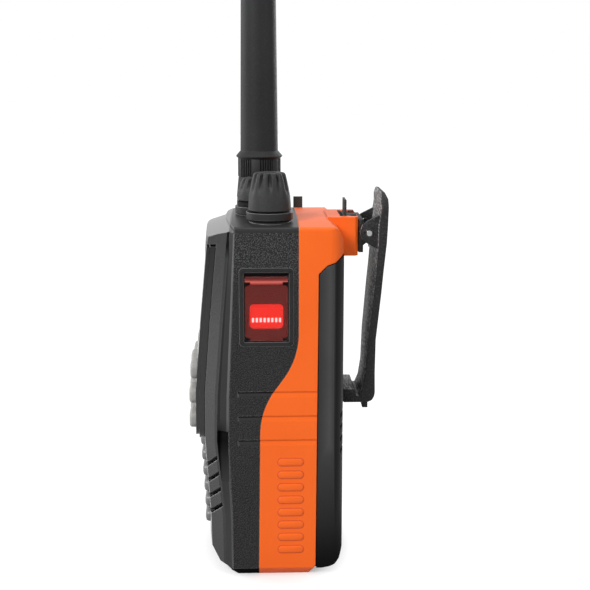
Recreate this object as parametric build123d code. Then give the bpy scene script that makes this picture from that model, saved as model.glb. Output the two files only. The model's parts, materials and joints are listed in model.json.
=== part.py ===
from build123d import *
import math
import os

# Frame: origin at the centre of the foot's underside, +Z up, the display faces -Y,
# the distress button is on the +X side.  Millimetres.

# case
body_width = 60.0
body_height = 128.0
half_width = body_width / 2
crown_rise = 1.3
wall = 2.4
edge_radius = 1.2
foot_half_width = half_width - 2.5
foot_front = -12.8
foot_rear = 12.9
foot_rise = 3.0
toe_points = [(11.5, 13.8), (6.6, 4.6), (2.6, 2.6)]
flank_width = 2.5
cover_taper = 2.5
cover_half = half_width - flank_width - cover_taper
front_bow = 1.4
gap = 0.3
touch = 0.05
running = 0.05
gasket_width = 1.0

# height, then how far forward of the centre plane the side's edge,
# the flank's front edge and the cover's front edge stand
top_station = body_height + crown_rise + 1.0
front_stations = [
    (0.0, 14.6, 17.0, 22.3),
    (22.0, 14.6, 17.3, 22.5),
    (body_height - 77.0, 15.6, 20.1, 24.3),
    (body_height - 60.0, 15.3, 19.7, 24.2),
    (body_height - 34.0, 14.2, 17.6, 22.1),
    (top_station, 12.8, 14.3, 18.6),
]

# sloping forehead in front of the controls
forehead_edge = -12.9
forehead_mid_edge = -16.5
forehead_drop = 1.6
forehead_slope = 18.0
forehead_rise = 2.6

# seam between the housing and the orange case, in the side view
seam_upper = 9.2
seam_upper_end = body_height - 46.2
seam_lower = -4.4
seam_lower_start = seam_upper_end - 18.8
seam_foot = -5.3
seam_radius = 28.0

# shoulder and battery bay
case_rear_top = 16.1
case_rear_bottom = 15.3
shoulder_rear = 25.0
shoulder_radius = 7.7
shoulder_bottom = body_height - 9.4
notch_depth = 3.8
notch_lip = 3.0
bay_half = half_width - 4.7
bay_front = 8.0
bay_top = body_height - 16.0
rail_depth = 1.4
rail_half = bay_half + rail_depth
rail_width = 2.6
rail_centre = 12.0

# clip boss on the shoulder, with its undercut slot
boss_half = 12.0
boss_rear = 31.2
boss_bottom = body_height - 12.7
slot_head_half = 8.0
slot_neck_half = 4.0
slot_head_depth = 3.0
slot_lip = 2.2
slot_floor = boss_bottom + 2.0

# bezel, window and keys
bezel_half = half_width - 6.0
bezel_top = body_height - 6.6
bezel_bottom = bezel_top - 71.9
bezel_thickness = 3.1
bezel_corner = 6.0
bezel_top_corner = 1.5
brow_root = 1.0
bezel_edge = 1.2
cover_wall = 1.8
window_half = bezel_half - 4.5
window_bottom = bezel_top - 36.4
window_top = bezel_top - 3.9
window_thickness = 1.2
window_sink = 0.3
window_corner = 3.0
module_thickness = 2.6
module_margin = 1.2
key_names = [
    "key_menu", "key_up", "key_back",
    "key_left", "key_enter", "key_right",
    "key_light", "key_down", "key_scan",
]
key_columns = 3
key_pitch_x = 13.2
key_pitch_z = 9.2
key_size_x = 10.4
key_size_z = 6.2
key_corner = 2.4
key_bevel = 0.6
key_height = 1.9
key_travel = 0.8
keypad_centre = bezel_bottom + 15.5
mat_thickness = 1.4
mat_margin = 2.2

# speaker and microphone
speaker_centre = bezel_bottom - 15.5
speaker_radius = 15.0
speaker_depth = 6.0
speaker_rim = 2.0
speaker_rim_width = 4.0
speaker_slots = 4
slot_pitch = 5.95
slot_first = bezel_bottom - 5.6
slot_width = 1.8
slot_end = 0.3
slot_inner = 9.0
slot_edge_fall = 3.8
slot_fall = 0.33
slot_depth_limit = -17.0
membrane_thickness = 0.6
microphone_radius = 3.0
microphone_depth = 2.6
microphone_hole = 0.8
microphone_centre = (half_width - 10.0, 14.0)

# grip grooves on both sides
groove_count = 3
groove_top = body_height - 58.3
groove_pitch = 8.9
groove_height = 2.1
groove_lip = 0.5
groove_depth = 0.6
case_groove_depth = 0.25
groove_front = -12.4

# finger hollow in each flank, deepest at its top
scoop_top = bezel_bottom + 5.5
scoop_bottom = bezel_bottom - 13.5
scoop_depth = 1.5
scoop_foot_depth = 0.7
scoop_length = 4.4

# boards
board_half = bay_half - 5.7
board_rear = -7.0
board_thickness = 1.6
board_front = board_rear - board_thickness
board_bottom = speaker_centre + speaker_radius + 4.0
board_top = bay_top - 12.0
chassis_thickness = 1.5
chassis_window = 18.0
post_radius = 2.6
post_inset = 3.6
screw_lower = 9.5
screw_upper = bay_top - 6.5
screw_upper_half = 14.0
screw_radius = 1.2
screw_head_radius = 2.2
screw_head = 1.4
shield_size = (27.0, 3.2, 26.0)
shield_centre = body_height - 53.0
shield_corner = 2.0
strip_thickness = 1.0
strip_width = 13.5
switch_size = 3.0
switch_height = 1.0

# distress cover and button
distress_centre = -2.1
distress_width = 14.9
distress_hinge_z = body_height - 17.9
distress_cover_top = distress_hinge_z - 2.1
distress_cover_bottom = distress_hinge_z - 20.8
distress_corner = 1.2
distress_tab = 1.0
distress_tab_side = 1.8
distress_barrel = 1.2
distress_pin_radius = 0.5
distress_plate = 1.4
distress_proud = 0.3
distress_outer = half_width + distress_proud
pocket_margin = 0.5
pocket_bevel = 1.0
pocket_corner = 1.5
pocket_depth = 2.2
pocket_top = distress_hinge_z + 2.0
pocket_bottom = distress_cover_bottom - 1.6
button_height = 8.4
button_width = 11.8
button_corner = 1.6
button_bevel = 0.5
button_centre_z = distress_hinge_z - 13.7
button_travel = 1.0
button_depth = 3.0
button_face = distress_outer - distress_plate - gap
button_well = button_face - button_depth - button_travel - 2 * gap
seal_margin = 1.4
seal_thickness = 0.8

# push-to-talk and side keys on the other side
ptt_centre = (-4.2, body_height - 35.5)
ptt_size = (13.0, 28.0)
ptt_corner = 3.0
side_key_size = (7.0, 6.0)
side_key_corner = 2.0
side_key_centres = {
    "side_key_upper": (-4.2, body_height - 14.0),
    "side_key_lower": (-7.0, body_height - 55.0),
}
side_key_proud = 1.3
side_key_bevel = 0.7
side_key_travel = 0.9
side_key_flange = 1.1
side_key_lip = 0.6

# knobs
volume_place = (0.3 * body_width, -0.7)
squelch_place = (0.0, -4.9)
collar_top = body_height + 4.3
volume_foot = collar_top + gap
squelch_foot = collar_top + 2.0
volume_top = body_height + 18.0
squelch_top = body_height + 14.6
knob_radius = 7.6
knob_crown = 5.8
knob_crown_bevel = 1.0
knob_flutes = 12
flute_depth = 1.2
flute_share = 0.55
flute_width = 3.0
collar_radius = 8.3
collar_height = 3.2
collar_bevel = 0.8
collar_neck = 7.3
control_radius = 5.8
control_height = 7.0
bush_radius = 3.4
shaft_radius = 2.0
collar_inside = 3.0
knob_seal_width = 1.2
knob_seal_recess = 0.9

# antenna
antenna_place = (-0.3 * body_width - 0.2, -4.2)
antenna_tip = body_height + 172.0
antenna_root = body_height + 22.7
antenna_radius = 7.2
antenna_tip_radius = 5.6
flange_radius = 8.9
flange_edge = antenna_root - 1.3
flange_bottom = antenna_root - 2.5
knurl_radius = 8.15
knurl_bottom = flange_bottom - 6.9
knurl_groups = 6
knurl_group_ribs = 3
knurl_pitch = 15.0
knurl_cut = 0.6
knurl_cut_width = 1.1
sleeve_radius = 8.7
sleeve_bottom = body_height + 5.4
core_radius = 2.2
plug_radius = 3.0
plug_length = 9.0
plug_nut = 5.0
socket_radius = 5.4
seal_inset = 1.6

# battery
battery_side = 0.2
battery_rear = 25.2
battery_split = 21.4
battery_corner = 5.0
battery_foot = 2.8
battery_wall = 1.8
battery_roof = 3.6
battery_floor = 5.4
heel_points = [(0.0, 7.0), (1.2, 3.1), (2.8, 1.3), (4.9, 0.5), (7.5, 0.0)]
tub_bottom = 1.2
cell_count = 2
cell_corner = 3.0
contact_count = 3
contact_pitch = 8.0
contact_height = bay_top - 12.0
case_contact_size = (3.0, 7.0)
battery_contact_size = (4.0, 9.0)
battery_contact_depth = 0.6
grip_slots = 4
grip_pitch = 4.4
grip_first = body_height - 66.5
grip_slot_size = (10.0, 2.4, 1.7)
grip_slot_lean = 28.0
latch_half = 10.0
latch_travel = 2.0
latch_thickness = 2.2
latch_recess = 0.8
latch_ridge = (1.2, 2.4)
latch_ridge_height = 0.9

# belt clip, in (Y, Z) from the hinge pin
pin_place = (boss_rear + 4.0, body_height - 4.5)
pin_radius = 1.0
pin_end = 0.4
ear_outer = 12.5
ear_thickness = 1.6
ear_points = [(3.6, 6.5), (-0.6, 4.4), (-2.5, 3.0), (-3.3, 0.5), (-2.8, -2.3), (-0.3, -4.0), (3.3, -5.8)]
lug_thickness = 1.7
lug_radius = 3.0
lug_spur = -6.0
plate_thickness = 1.7
plate_end = 1.0
lever_half = 14.5
lever_foot_half = 10.0
lever_crown = 7.0
lever_sides = [(-69.0, 0.0), (-54.0, 0.5), (-22.0, 4.5)]
lever_rise = 15.0
lever_rear_face = [
    (5.6, 14.5), (6.6, 12.3), (6.7, 9.4), (6.5, 2.9), (6.2, -3.2),
    (5.1, -14.3), (2.9, -39.6), (2.9, -52.1), (3.1, -61.2), (1.6, -63.9),
]
lever_tooth = [
    (-8.4, -63.9), (-9.2, -63.1), (-9.2, -59.3), (-8.7, -58.7), (-4.7, -58.8), (-3.8, -61.3),
]
lever_front_face = [
    (-2.9, -61.4), (-1.6, -58.4), (-0.6, -52.1), (0.0, -39.6), (2.4, -14.2),
    (3.2, -3.2), (3.3, 2.9), (4.2, 9.4), (4.0, 12.5), (4.4, 14.7),
]
lever_nub = ((-1.4, 0.6), (-66.6, -63.0))
lever_nub_half = 8.0
tab_half = 5.0
tab_thickness = 0.8
tab_setback = 0.4
tab_top = body_height + 6.7
coil_wire = 0.9
coil_half = 2.25
coil_legs = (7.0, 4.0)

# accessory jack on the shoulder's hidden side
jack_place = (16.0, body_height - 6.4)
jack_radius = 4.2
jack_bore = 1.8
jack_depth = 12.0
jack_floor = 1.0
jack_cover_size = (13.6, 9.0)
jack_cover_corner = 2.0
jack_cover_thickness = 1.3
jack_barrel_radius = 0.75
jack_barrel_half = 3.0
jack_tab_width = 3.6
jack_tab_top = body_height + 4.2


def block(x, y, z):
    middle = [(low + high) / 2 for low, high in (x, y, z)]
    size = [high - low for low, high in (x, y, z)]
    return Pos(*middle) * Box(*size)


def span(centre, size):
    return centre - size / 2, centre + size / 2


def wider(limits, margin):
    return limits[0] - margin, limits[1] + margin


def side_prism(outline, low, high):
    # outline in (Y, Z), from X low to X high
    return extrude(Plane.YZ.offset(low) * outline, high - low, dir=(1, 0, 0))


def front_prism(outline, low, high):
    # outline in (X, Z), from Y low to Y high
    return extrude(Plane.XZ.offset(-high) * outline, high - low, dir=(0, -1, 0))


def plan_prism(outline, low, high):
    # outline in (X, Y), from Z low to Z high
    return extrude(Plane.XY.offset(low) * outline, high - low, dir=(0, 0, 1))


def polygon(*points):
    return Polygon(*points, align=None)


def soften(outline, spots, radius):
    corners = outline.vertices()
    nearest = [min(corners, key=lambda v: math.dist((v.X, v.Y), spot)) for spot in spots]
    return fillet(nearest, radius)


def rounded(x, y, radius):
    # rounded rectangle from two (low, high) pairs
    centre = ((x[0] + x[1]) / 2, (y[0] + y[1]) / 2)
    return Pos(*centre) * RectangleRounded(x[1] - x[0], y[1] - y[0], radius)


def rod(place, radius, low, high):
    upright = Cylinder(radius, high - low, align=(Align.CENTER, Align.CENTER, Align.MIN))
    return Pos(place[0], place[1], low) * upright


def frustum(place, low_radius, high_radius, low, high):
    upright = Cone(low_radius, high_radius, high - low, align=(Align.CENTER, Align.CENTER, Align.MIN))
    return Pos(place[0], place[1], low) * upright


def cross_rod(place, radius, low, high):
    # rod along X, with place in (Y, Z)
    return side_prism(Pos(*place) * Circle(radius), low, high)


def mirrored(shape):
    return shape + mirror(shape, Plane.YZ)


def station_at(height):
    # (side, flank, front) between two stations
    for low, high in zip(front_stations, front_stations[1:]):
        if height <= high[0]:
            break
    share = (height - low[0]) / (high[0] - low[0])
    return [a + (b - a) * share for a, b in zip(low[1:], high[1:])]


def bow_sag(x):
    radius = (cover_half ** 2 + front_bow ** 2) / (2 * front_bow)
    return radius - math.sqrt(radius ** 2 - x ** 2)


# --- outer forms -------------------------------------------------------------

def housing_section(station, inset):
    height, side, flank, front = station
    half = half_width - inset
    step = half - flank_width
    back = shoulder_rear + shoulder_radius
    outline = polygon((-half, back), (-half, -side), (-step, inset - flank),
                      (step, inset - flank), (half, -side), (half, back))
    return (Plane.XY.offset(height) * outline).face()


def cover_section(station, inset):
    height, side, flank, front = station
    outer = cover_half + cover_taper - inset
    inner = cover_half - inset
    face = inset - front
    edges = [
        Line((-outer, -flank), (-inner, face)),
        ThreePointArc((-inner, face), (0, face - front_bow), (inner, face)),
        Line((inner, face), (outer, -flank)),
        Line((outer, -flank), (-outer, -flank)),
    ]
    return (Plane.XY.offset(height) * make_face(edges)).face()


def layer_section(station, near, far, half):
    # a curved layer that stands between two distances in front of the cover
    height, side, flank, front = station
    mid = front + front_bow
    edge = mid - bow_sag(half)
    edges = [
        ThreePointArc((-half, -edge - far), (0, -mid - far), (half, -edge - far)),
        Line((half, -edge - far), (half, -edge - near)),
        ThreePointArc((half, -edge - near), (0, -mid - near), (-half, -edge - near)),
        Line((-half, -edge - near), (-half, -edge - far)),
    ]
    return (Plane.XY.offset(height) * make_face(edges)).face()


def front_layer(near, far, half):
    return loft([layer_section(station, near, far, half) for station in front_stations], ruled=True)


def front_view(inset):
    edge_top = body_height - inset
    half = half_width - inset
    foot = foot_half_width - inset
    edges = [
        Line((-foot, inset), (foot, inset)),
        Line((foot, inset), (half, foot_rise + inset)),
        Line((half, foot_rise + inset), (half, edge_top)),
        ThreePointArc((half, edge_top), (0, edge_top + crown_rise), (-half, edge_top)),
        Line((-half, edge_top), (-half, foot_rise + inset)),
        Line((-half, foot_rise + inset), (-foot, inset)),
    ]
    corners = [(half, edge_top), (-half, edge_top)]
    outline = soften(make_face(edges), corners, edge_radius)
    return front_prism(outline, -2 * half_width, 2 * half_width)


def case_rear_at(height):
    share = height / (shoulder_bottom - notch_depth)
    return case_rear_bottom + (case_rear_top - case_rear_bottom) * min(share, 1)


def side_view():
    top = body_height + crown_rise
    notch = shoulder_bottom - notch_depth
    outline = polygon(
        (foot_front, 0),
        (foot_rear, 0),
        (case_rear_bottom, foot_rise + 1),
        (case_rear_top, notch - notch_lip),
        (case_rear_top + notch_lip, notch),
        (shoulder_rear - notch_lip, notch + notch_lip / 3),
        (shoulder_rear, shoulder_bottom),
        (shoulder_rear, top),
        (-2 * half_width, top),
        (-2 * half_width, 2 * half_width),
        *((foot_front - reach, height) for reach, height in toe_points),
    )
    outline = soften(outline, [(shoulder_rear, top)], shoulder_radius)
    return side_prism(outline, -half_width, half_width)


def forehead_cut(inset):
    # what lies above the sloping forehead, in front of the controls
    reach = 2 * half_width
    side = half_width + 1

    def region(edge, middle):
        return make_face([
            ThreePointArc((-side, edge), (0, middle), (side, edge)),
            Polyline((side, edge), (side, -reach), (-side, -reach), (-side, edge)),
        ])

    plan = region(forehead_edge + inset, forehead_mid_edge + inset)
    tall = body_height + 3 * crown_rise
    above = plan_prism(plan, body_height - 5 * forehead_drop, tall)
    below = Rot(X=forehead_slope) * front_prism(region(0, forehead_rise), -reach, reach)
    seat = (0, forehead_edge, body_height - forehead_drop - inset)
    return above - Pos(*seat) * below


def shoulder_plan():
    # the shoulder's rear corner follows the battery's, apart from the side that carries the jack
    corner = (half_width, shoulder_rear)
    outline = polygon((-half_width, -half_width), (half_width, -half_width), corner, (-half_width, shoulder_rear))
    outline = soften(outline, [corner], battery_corner)
    return plan_prism(outline, 0, body_height + 3 * crown_rise)


def outer_body():
    body = loft([housing_section(station, 0) for station in front_stations], ruled=True)
    return body & front_view(0) & side_view() & shoulder_plan() - forehead_cut(0)


def inner_space():
    space = loft([housing_section(station, wall) for station in front_stations], ruled=True)
    step = bay_top + wall
    outline = polygon(
        (-2 * half_width, foot_rise + 8),
        (foot_front - 1, foot_rise),
        (bay_front - wall, foot_rise),
        (bay_front - wall, step),
        (case_rear_top - wall, step),
        (case_rear_top - wall, body_height + crown_rise),
        (-2 * half_width, body_height + crown_rise),
    )
    return (space & front_view(wall) & side_prism(outline, -half_width, half_width)) - forehead_cut(wall)


def seam_front(shift):
    # everything in front of the seam, moved back by shift
    low = -foot_rise
    high = body_height + 4 * crown_rise
    path = FilletPolyline(
        (seam_upper + shift, high),
        (seam_upper + shift, seam_upper_end),
        (seam_lower + shift, seam_lower_start),
        (seam_foot + shift, low),
        radius=seam_radius,
    )
    rest = Polyline((seam_foot + shift, low), (-2 * half_width, low), (-2 * half_width, high),
                    (seam_upper + shift, high))
    return side_prism(make_face([path, rest]), -half_width - 1, half_width + 1)


def grip_grooves(depth):
    # each groove is sharp at its top and runs out to nothing below
    cut = None
    face = half_width - depth
    for row in range(groove_count):
        top = groove_top - row * groove_pitch
        outline = polygon((face, top), (face, top - groove_lip), (half_width, top - groove_height),
                          (half_width + 1, top - groove_height), (half_width + 1, top))
        strip = front_prism(outline, groove_front, case_rear_top + 1)
        cut = strip if cut is None else cut + strip
    return mirrored(cut)


def flank_scoops():
    side, flank, front = station_at(scoop_top)
    lean = math.degrees(math.atan2(flank_width, flank - side))
    outline = polygon((-scoop_depth, scoop_top), (-scoop_foot_depth, scoop_bottom),
                      (wall, scoop_bottom), (wall, scoop_top))
    wedge = front_prism(outline, -scoop_length / 2, scoop_length / 2)
    middle = (half_width - flank_width / 2, -(side + flank) / 2)
    return mirrored(Pos(*middle) * Rot(Z=-lean) * wedge)


def case_shell(groove):
    return outer_body() - inner_space() - grip_grooves(groove)


# --- front half --------------------------------------------------------------

def bay_walls(clearance):
    # the battery bay's walls belong to the orange case, also where they stand in front of the seam
    half = half_width - wall + clearance
    y = (bay_front - wall - clearance, shoulder_rear)
    return block((-half, half), y, (foot_rise, bay_top + wall + clearance))


def case_gasket():
    slab = seam_front(gasket_width / 2) - seam_front(-gasket_width / 2)
    groove = half_width - wall / 2
    low = wall / 2 + foot_rise / 2
    loop = rounded((-groove, groove), (low, body_height - wall / 2), edge_radius)
    band = front_prism(loop, -half_width, half_width)
    return (slab & band) - inner_space() - bay_walls(touch)


def top_bosses():
    floor = body_height - wall - collar_inside
    low = collar_top - collar_height
    shape = rod(antenna_place, sleeve_radius, floor, collar_top)
    for place in (volume_place, squelch_place):
        shape += rod(place, collar_neck, floor, collar_top)
        shape += frustum(place, collar_radius - collar_bevel, collar_radius, low, low + collar_bevel)
        shape += rod(place, collar_radius, low + collar_bevel, collar_top)
    return shape


def board_posts():
    shape = None
    for x, z in board_corners():
        side, flank, front = station_at(z)
        post = front_prism(Pos(x, z) * Circle(post_radius), wall / 2 - flank, board_front)
        shape = post if shape is None else shape + post
    return shape


def case_bosses():
    shape = None
    for x, z in screw_places():
        side, flank, front = station_at(z)
        boss = front_prism(Pos(x, z) * Circle(2 * screw_radius), wall / 2 - flank, bay_front - wall)
        boss -= front_prism(Pos(x, z) * Circle(screw_radius), bay_front - 5 * wall, bay_front)
        shape = boss if shape is None else shape + boss
    return shape


def distress_pocket():
    y = span(distress_centre, distress_width + 2 * pocket_margin)
    z = (pocket_bottom, pocket_top)
    face = Plane.YZ.offset(half_width + touch)
    floor = Plane.YZ.offset(half_width - pocket_depth)
    mouth = rounded(wider(y, pocket_bevel), wider(z, pocket_bevel), pocket_corner + pocket_bevel)
    bed = rounded(y, z, pocket_corner)
    return loft([(floor * bed).face(), (face * mouth).face()])


def button_outline(clearance):
    y = span(distress_centre, button_width + 2 * clearance)
    z = span(button_centre_z, button_height + 2 * clearance)
    return rounded(y, z, button_corner + clearance)


def distress_axis():
    # in (X, Z)
    return half_width - distress_barrel / 2, distress_hinge_z


def distress_pin_span():
    return wider(span(distress_centre, distress_width), pocket_margin + pocket_bevel)


def front_housing():
    shape = (case_shell(groove_depth) & seam_front(0)) - bay_walls(touch)
    shape -= flank_scoops()
    shape -= case_gasket()
    shape += top_bosses()
    shape += board_posts()
    shape += case_bosses()

    low = distress_centre - distress_width / 2 - pocket_margin - wall / 2
    shape += block((button_well, half_width - wall / 2), (low, bay_front - wall - gap),
                   (pocket_bottom - wall, pocket_top + wall))
    shape -= distress_pocket()
    shape -= side_prism(button_outline(gap), button_well - 1, half_width)
    shape -= front_prism(Pos(*distress_axis()) * Circle(distress_pin_radius), *distress_pin_span())

    x = (-half_width - 1, 2 * wall - half_width)
    shape -= side_prism(side_opening(ptt_centre, ptt_size, ptt_corner), *x)
    for centre in side_key_centres.values():
        shape -= side_prism(side_opening(centre, side_key_size, side_key_corner), *x)

    for place in (volume_place, squelch_place):
        shape -= rod(place, bush_radius, body_height - 4 * wall, collar_top + 1)
    shape -= rod(antenna_place, socket_radius, body_height - 6 * wall, collar_top + 1)

    side, flank, front = station_at(speaker_centre)
    seat = Pos(0, speaker_centre) * Circle(speaker_radius + touch)
    return shape - front_prism(seat, -flank - wall, 2 * wall - flank)


def speaker_openings():
    # slots that run down the cover's bevelled edge and on towards the middle
    cut = None
    reach = cover_half + cover_taper - slot_end
    steep = slot_edge_fall / cover_taper
    for row in range(speaker_slots):
        top = slot_first - row * slot_pitch
        inner = slot_inner + row
        knee = top - steep * (reach - cover_half)
        low = knee - slot_fall * (cover_half - inner)
        outline = polygon((inner, low), (cover_half, knee), (reach, top), (reach, top + slot_width),
                          (cover_half, knee + slot_width), (inner, low + slot_width))
        slot = front_prism(outline, -3 * half_width / 2, slot_depth_limit)
        cut = slot if cut is None else cut + slot
    return mirrored(cut)


def bezel_crown(clearance):
    # the bezel's upper edge, a shallow arch
    side = bezel_top + clearance
    return ThreePointArc((-bezel_half, side), (0, side + forehead_rise * 0.8), (bezel_half, side))


def brow():
    # the cover reaches forward over the bezel's upper edge
    side = bezel_top + gap
    high = body_height + crown_rise
    rest = Polyline((bezel_half, side), (half_width, side), (half_width, high), (-half_width, high),
                    (-half_width, side), (-bezel_half, side))
    above = front_prism(make_face([bezel_crown(gap), rest]), -2 * half_width, 0)
    return front_layer(-brow_root, bezel_thickness, cover_half) & above


def front_cover():
    shape = loft([cover_section(station, 0) for station in front_stations], ruled=True) + brow()
    shape = (shape & front_view(0) & side_view()) - forehead_cut(0)
    hollow = loft([cover_section(station, cover_wall) for station in front_stations], ruled=True)
    z = (foot_rise + 4 * cover_wall, bezel_top - cover_wall)
    room = rounded((-cover_half, cover_half), z, 2 * cover_wall)
    shape -= hollow & front_prism(room, -2 * half_width, 0)
    shape -= front_prism(window_outline(module_margin), -2 * half_width, 0)
    shape -= front_prism(mat_outline(gap), -2 * half_width, 0)
    shape -= speaker_openings()
    return shape - front_prism(Pos(*microphone_centre) * Circle(microphone_hole), -2 * half_width, 0)


def window_outline(margin):
    x = (-window_half - margin, window_half + margin)
    return rounded(x, (window_bottom - margin, window_top + margin), window_corner)


def key_places():
    rows = len(key_names) // key_columns
    for index, name in enumerate(key_names):
        row, column = divmod(index, key_columns)
        x = (column - (key_columns - 1) / 2) * key_pitch_x
        z = keypad_centre + ((rows - 1) / 2 - row) * key_pitch_z
        yield name, x, z


def key_outline(x, z, clearance):
    width = key_size_x + 2 * clearance
    height = key_size_z + 2 * clearance
    return rounded(span(x, width), span(z, height), key_corner)


def mat_outline(clearance):
    rows = len(key_names) // key_columns
    width = key_columns * key_pitch_x + 2 * clearance
    height = rows * key_pitch_z + 2 * clearance
    return rounded(span(0, width), span(keypad_centre, height), mat_margin)


def display_bezel():
    rest = Polyline((bezel_half, bezel_top), (bezel_half, bezel_bottom), (-bezel_half, bezel_bottom),
                    (-bezel_half, bezel_top))
    outline = make_face([bezel_crown(0), rest])
    outline = soften(outline, [(bezel_half, bezel_top), (-bezel_half, bezel_top)], bezel_top_corner)
    outline = soften(outline, [(bezel_half, bezel_bottom), (-bezel_half, bezel_bottom)], bezel_corner)
    lower = front_prism(outline, -3 * half_width, 0)
    upper = front_prism(offset(outline, -bezel_edge), -3 * half_width, 0)
    base = front_layer(0, bezel_thickness - bezel_edge, bezel_half) & lower
    cap = front_layer(bezel_thickness - bezel_edge, bezel_thickness, bezel_half) & upper
    shape = base + cap - front_prism(window_outline(0), -3 * half_width, 0)
    for name, x, z in key_places():
        shape -= front_prism(key_outline(x, z, gap), -3 * half_width, 0)
    return shape


def display_window():
    far = bezel_thickness - window_sink
    sheet = front_layer(far - window_thickness, far, window_half)
    return sheet & front_prism(window_outline(-touch), -3 * half_width, 0)


def display_module():
    low = window_bottom - module_margin + gap
    high = window_top + module_margin - gap
    depth_low = station_at(low)[2] + gap
    depth_high = station_at(high)[2] + gap
    outline = polygon(
        (-depth_low, low),
        (-depth_high, high),
        (module_thickness - depth_high, high),
        (module_thickness - depth_low, low),
    )
    module = front_prism(window_outline(module_margin - gap), -2 * half_width, 0)
    return module & side_prism(outline, -half_width, half_width)


def keypad_mat():
    return front_layer(-mat_thickness, -touch, cover_half) & front_prism(mat_outline(0), -3 * half_width, 0)


def key_cap(x, z):
    side, flank, front = station_at(z)
    sag = front_bow - bow_sag(abs(x))
    face = front + sag + bezel_thickness + key_height
    foot = front + sag + key_travel + 2 * gap
    cap = front_prism(key_outline(x, z, 0), -face, -foot)
    return chamfer(cap.faces().sort_by(Axis.Y)[0].edges(), key_bevel)


# --- inside ------------------------------------------------------------------

def chassis_plate():
    rear = board_rear + chassis_thickness
    shape = block((-board_half, board_half), (board_rear, rear), (board_bottom, board_top))
    z = span((board_bottom + board_top) / 2, chassis_window)
    shape -= block((-board_half / 2, board_half / 2), (board_rear - 1, rear + 1), z)
    for corner in board_corners():
        shape -= front_prism(Pos(*corner) * Circle(screw_radius), board_rear - 1, rear + 1)
    return shape


def board_corners():
    for x in (post_inset - board_half, board_half - post_inset):
        for z in (board_bottom + post_inset, board_top - post_inset):
            yield x, z


def circuit_board():
    shape = block((-board_half, board_half), (board_front, board_rear), (board_bottom, board_top))
    for corner in board_corners():
        shape -= front_prism(Pos(*corner) * Circle(screw_radius), board_front - 1, board_rear + 1)
    return shape


def board_screws():
    solids = []
    seat = board_rear + chassis_thickness
    for x, z in board_corners():
        shank = front_prism(Pos(x, z) * Circle(screw_radius - touch), board_front, seat)
        head = front_prism(Pos(x, z) * Circle(screw_head_radius), seat, seat + screw_head)
        solids.append(shank + head)
    return Compound(children=solids)


def shield_can():
    width, depth, height = shield_size
    can = block(span(0, width), (board_front - depth, board_front), span(shield_centre, height))
    return chamfer(can.edges().filter_by(Axis.Y), shield_corner)


def speaker():
    side, flank, front = station_at(speaker_centre)
    face = wall / 2 - flank
    place = Pos(0, speaker_centre)
    rim = front_prism(place * Circle(speaker_radius), face, face + speaker_rim)
    basket = place * Circle(speaker_radius - speaker_rim_width)
    return rim + front_prism(basket, face + speaker_rim, face + speaker_depth)


def speaker_membrane():
    side, flank, front = station_at(speaker_centre)
    face = wall / 2 - flank
    return front_prism(Pos(0, speaker_centre) * Circle(speaker_radius), face - membrane_thickness, face)


def microphone():
    x, z = microphone_centre
    side, flank, front = station_at(z)
    back = -flank - 4 * touch
    return front_prism(Pos(x, z) * Circle(microphone_radius), back - microphone_depth, back)


def side_switches():
    inner = -half_width + wall + side_key_flange + side_key_travel + gap
    heights = [z for y, z in side_key_centres.values()]
    front = wall + gap - station_at(max(heights))[1]
    back = inner + switch_height
    z = (min(heights) - switch_size, max(heights) + switch_size / 2)
    strip = block((back, back + strip_thickness), (front, front + strip_width), z)
    for y, z in [ptt_centre, *side_key_centres.values()]:
        strip += block((inner, back), span(y, switch_size), span(z, switch_size))
    return strip


def control(place):
    roof = body_height - wall - collar_inside
    body = rod(place, control_radius, roof - control_height, roof)
    bush = rod(place, bush_radius - touch, roof, collar_top - gap)
    return body + bush - rod(place, shaft_radius + running, roof - control_height / 2, collar_top)


def knob_seals():
    low = rod(volume_place, bush_radius + knob_seal_width, collar_top, volume_foot + knob_seal_recess - gap)
    high = rod(squelch_place, collar_neck, collar_top, squelch_foot - gap)
    low -= rod(volume_place, shaft_radius + gap, collar_top - 1, squelch_foot)
    high -= rod(squelch_place, shaft_radius + gap, collar_top - 1, squelch_foot)
    return Compound(children=[low, high])


def antenna_socket():
    body = rod(antenna_place, socket_radius, body_height - 4 * wall, collar_top)
    return body - rod(antenna_place, plug_radius + running, collar_top - plug_length - gap, collar_top + 1)


# --- orange case -------------------------------------------------------------

def battery_bay(clearance):
    half = bay_half + clearance
    shape = block((-half, half), (bay_front - clearance, 2 * half_width), (-foot_rise, bay_top + clearance))
    rail = rail_half + clearance
    groove = span(rail_centre, rail_width + 2 * clearance)
    return shape + block((-rail, rail), groove, (-foot_rise, bay_top + clearance))


def clip_boss():
    top = body_height + crown_rise
    root = shoulder_rear - 2 * wall
    step = shoulder_bottom + 1
    ledge = battery_rear + gap
    outline = polygon((root, step), (ledge, step), (ledge, boss_bottom), (boss_rear, boss_bottom),
                      (boss_rear, top), (root, top))
    boss = side_prism(outline, -boss_half, boss_half)
    upright = boss.edges().filter_by(Axis.Z).group_by(Axis.Y)[-1]
    boss = chamfer(upright, 1)
    neck = boss_rear - slot_lip
    boss -= block((-slot_head_half, slot_head_half), (neck - slot_head_depth, neck), (slot_floor, top + 1))
    boss -= block((-slot_neck_half, slot_neck_half), (neck - 1, boss_rear + 1), (slot_floor, top + 1))
    return boss


def screw_places():
    low = bay_half - 2 * screw_radius
    high = screw_upper_half
    for x, z in ((-low, screw_lower), (low, screw_lower), (-high, screw_upper), (high, screw_upper)):
        yield x, z


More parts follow.
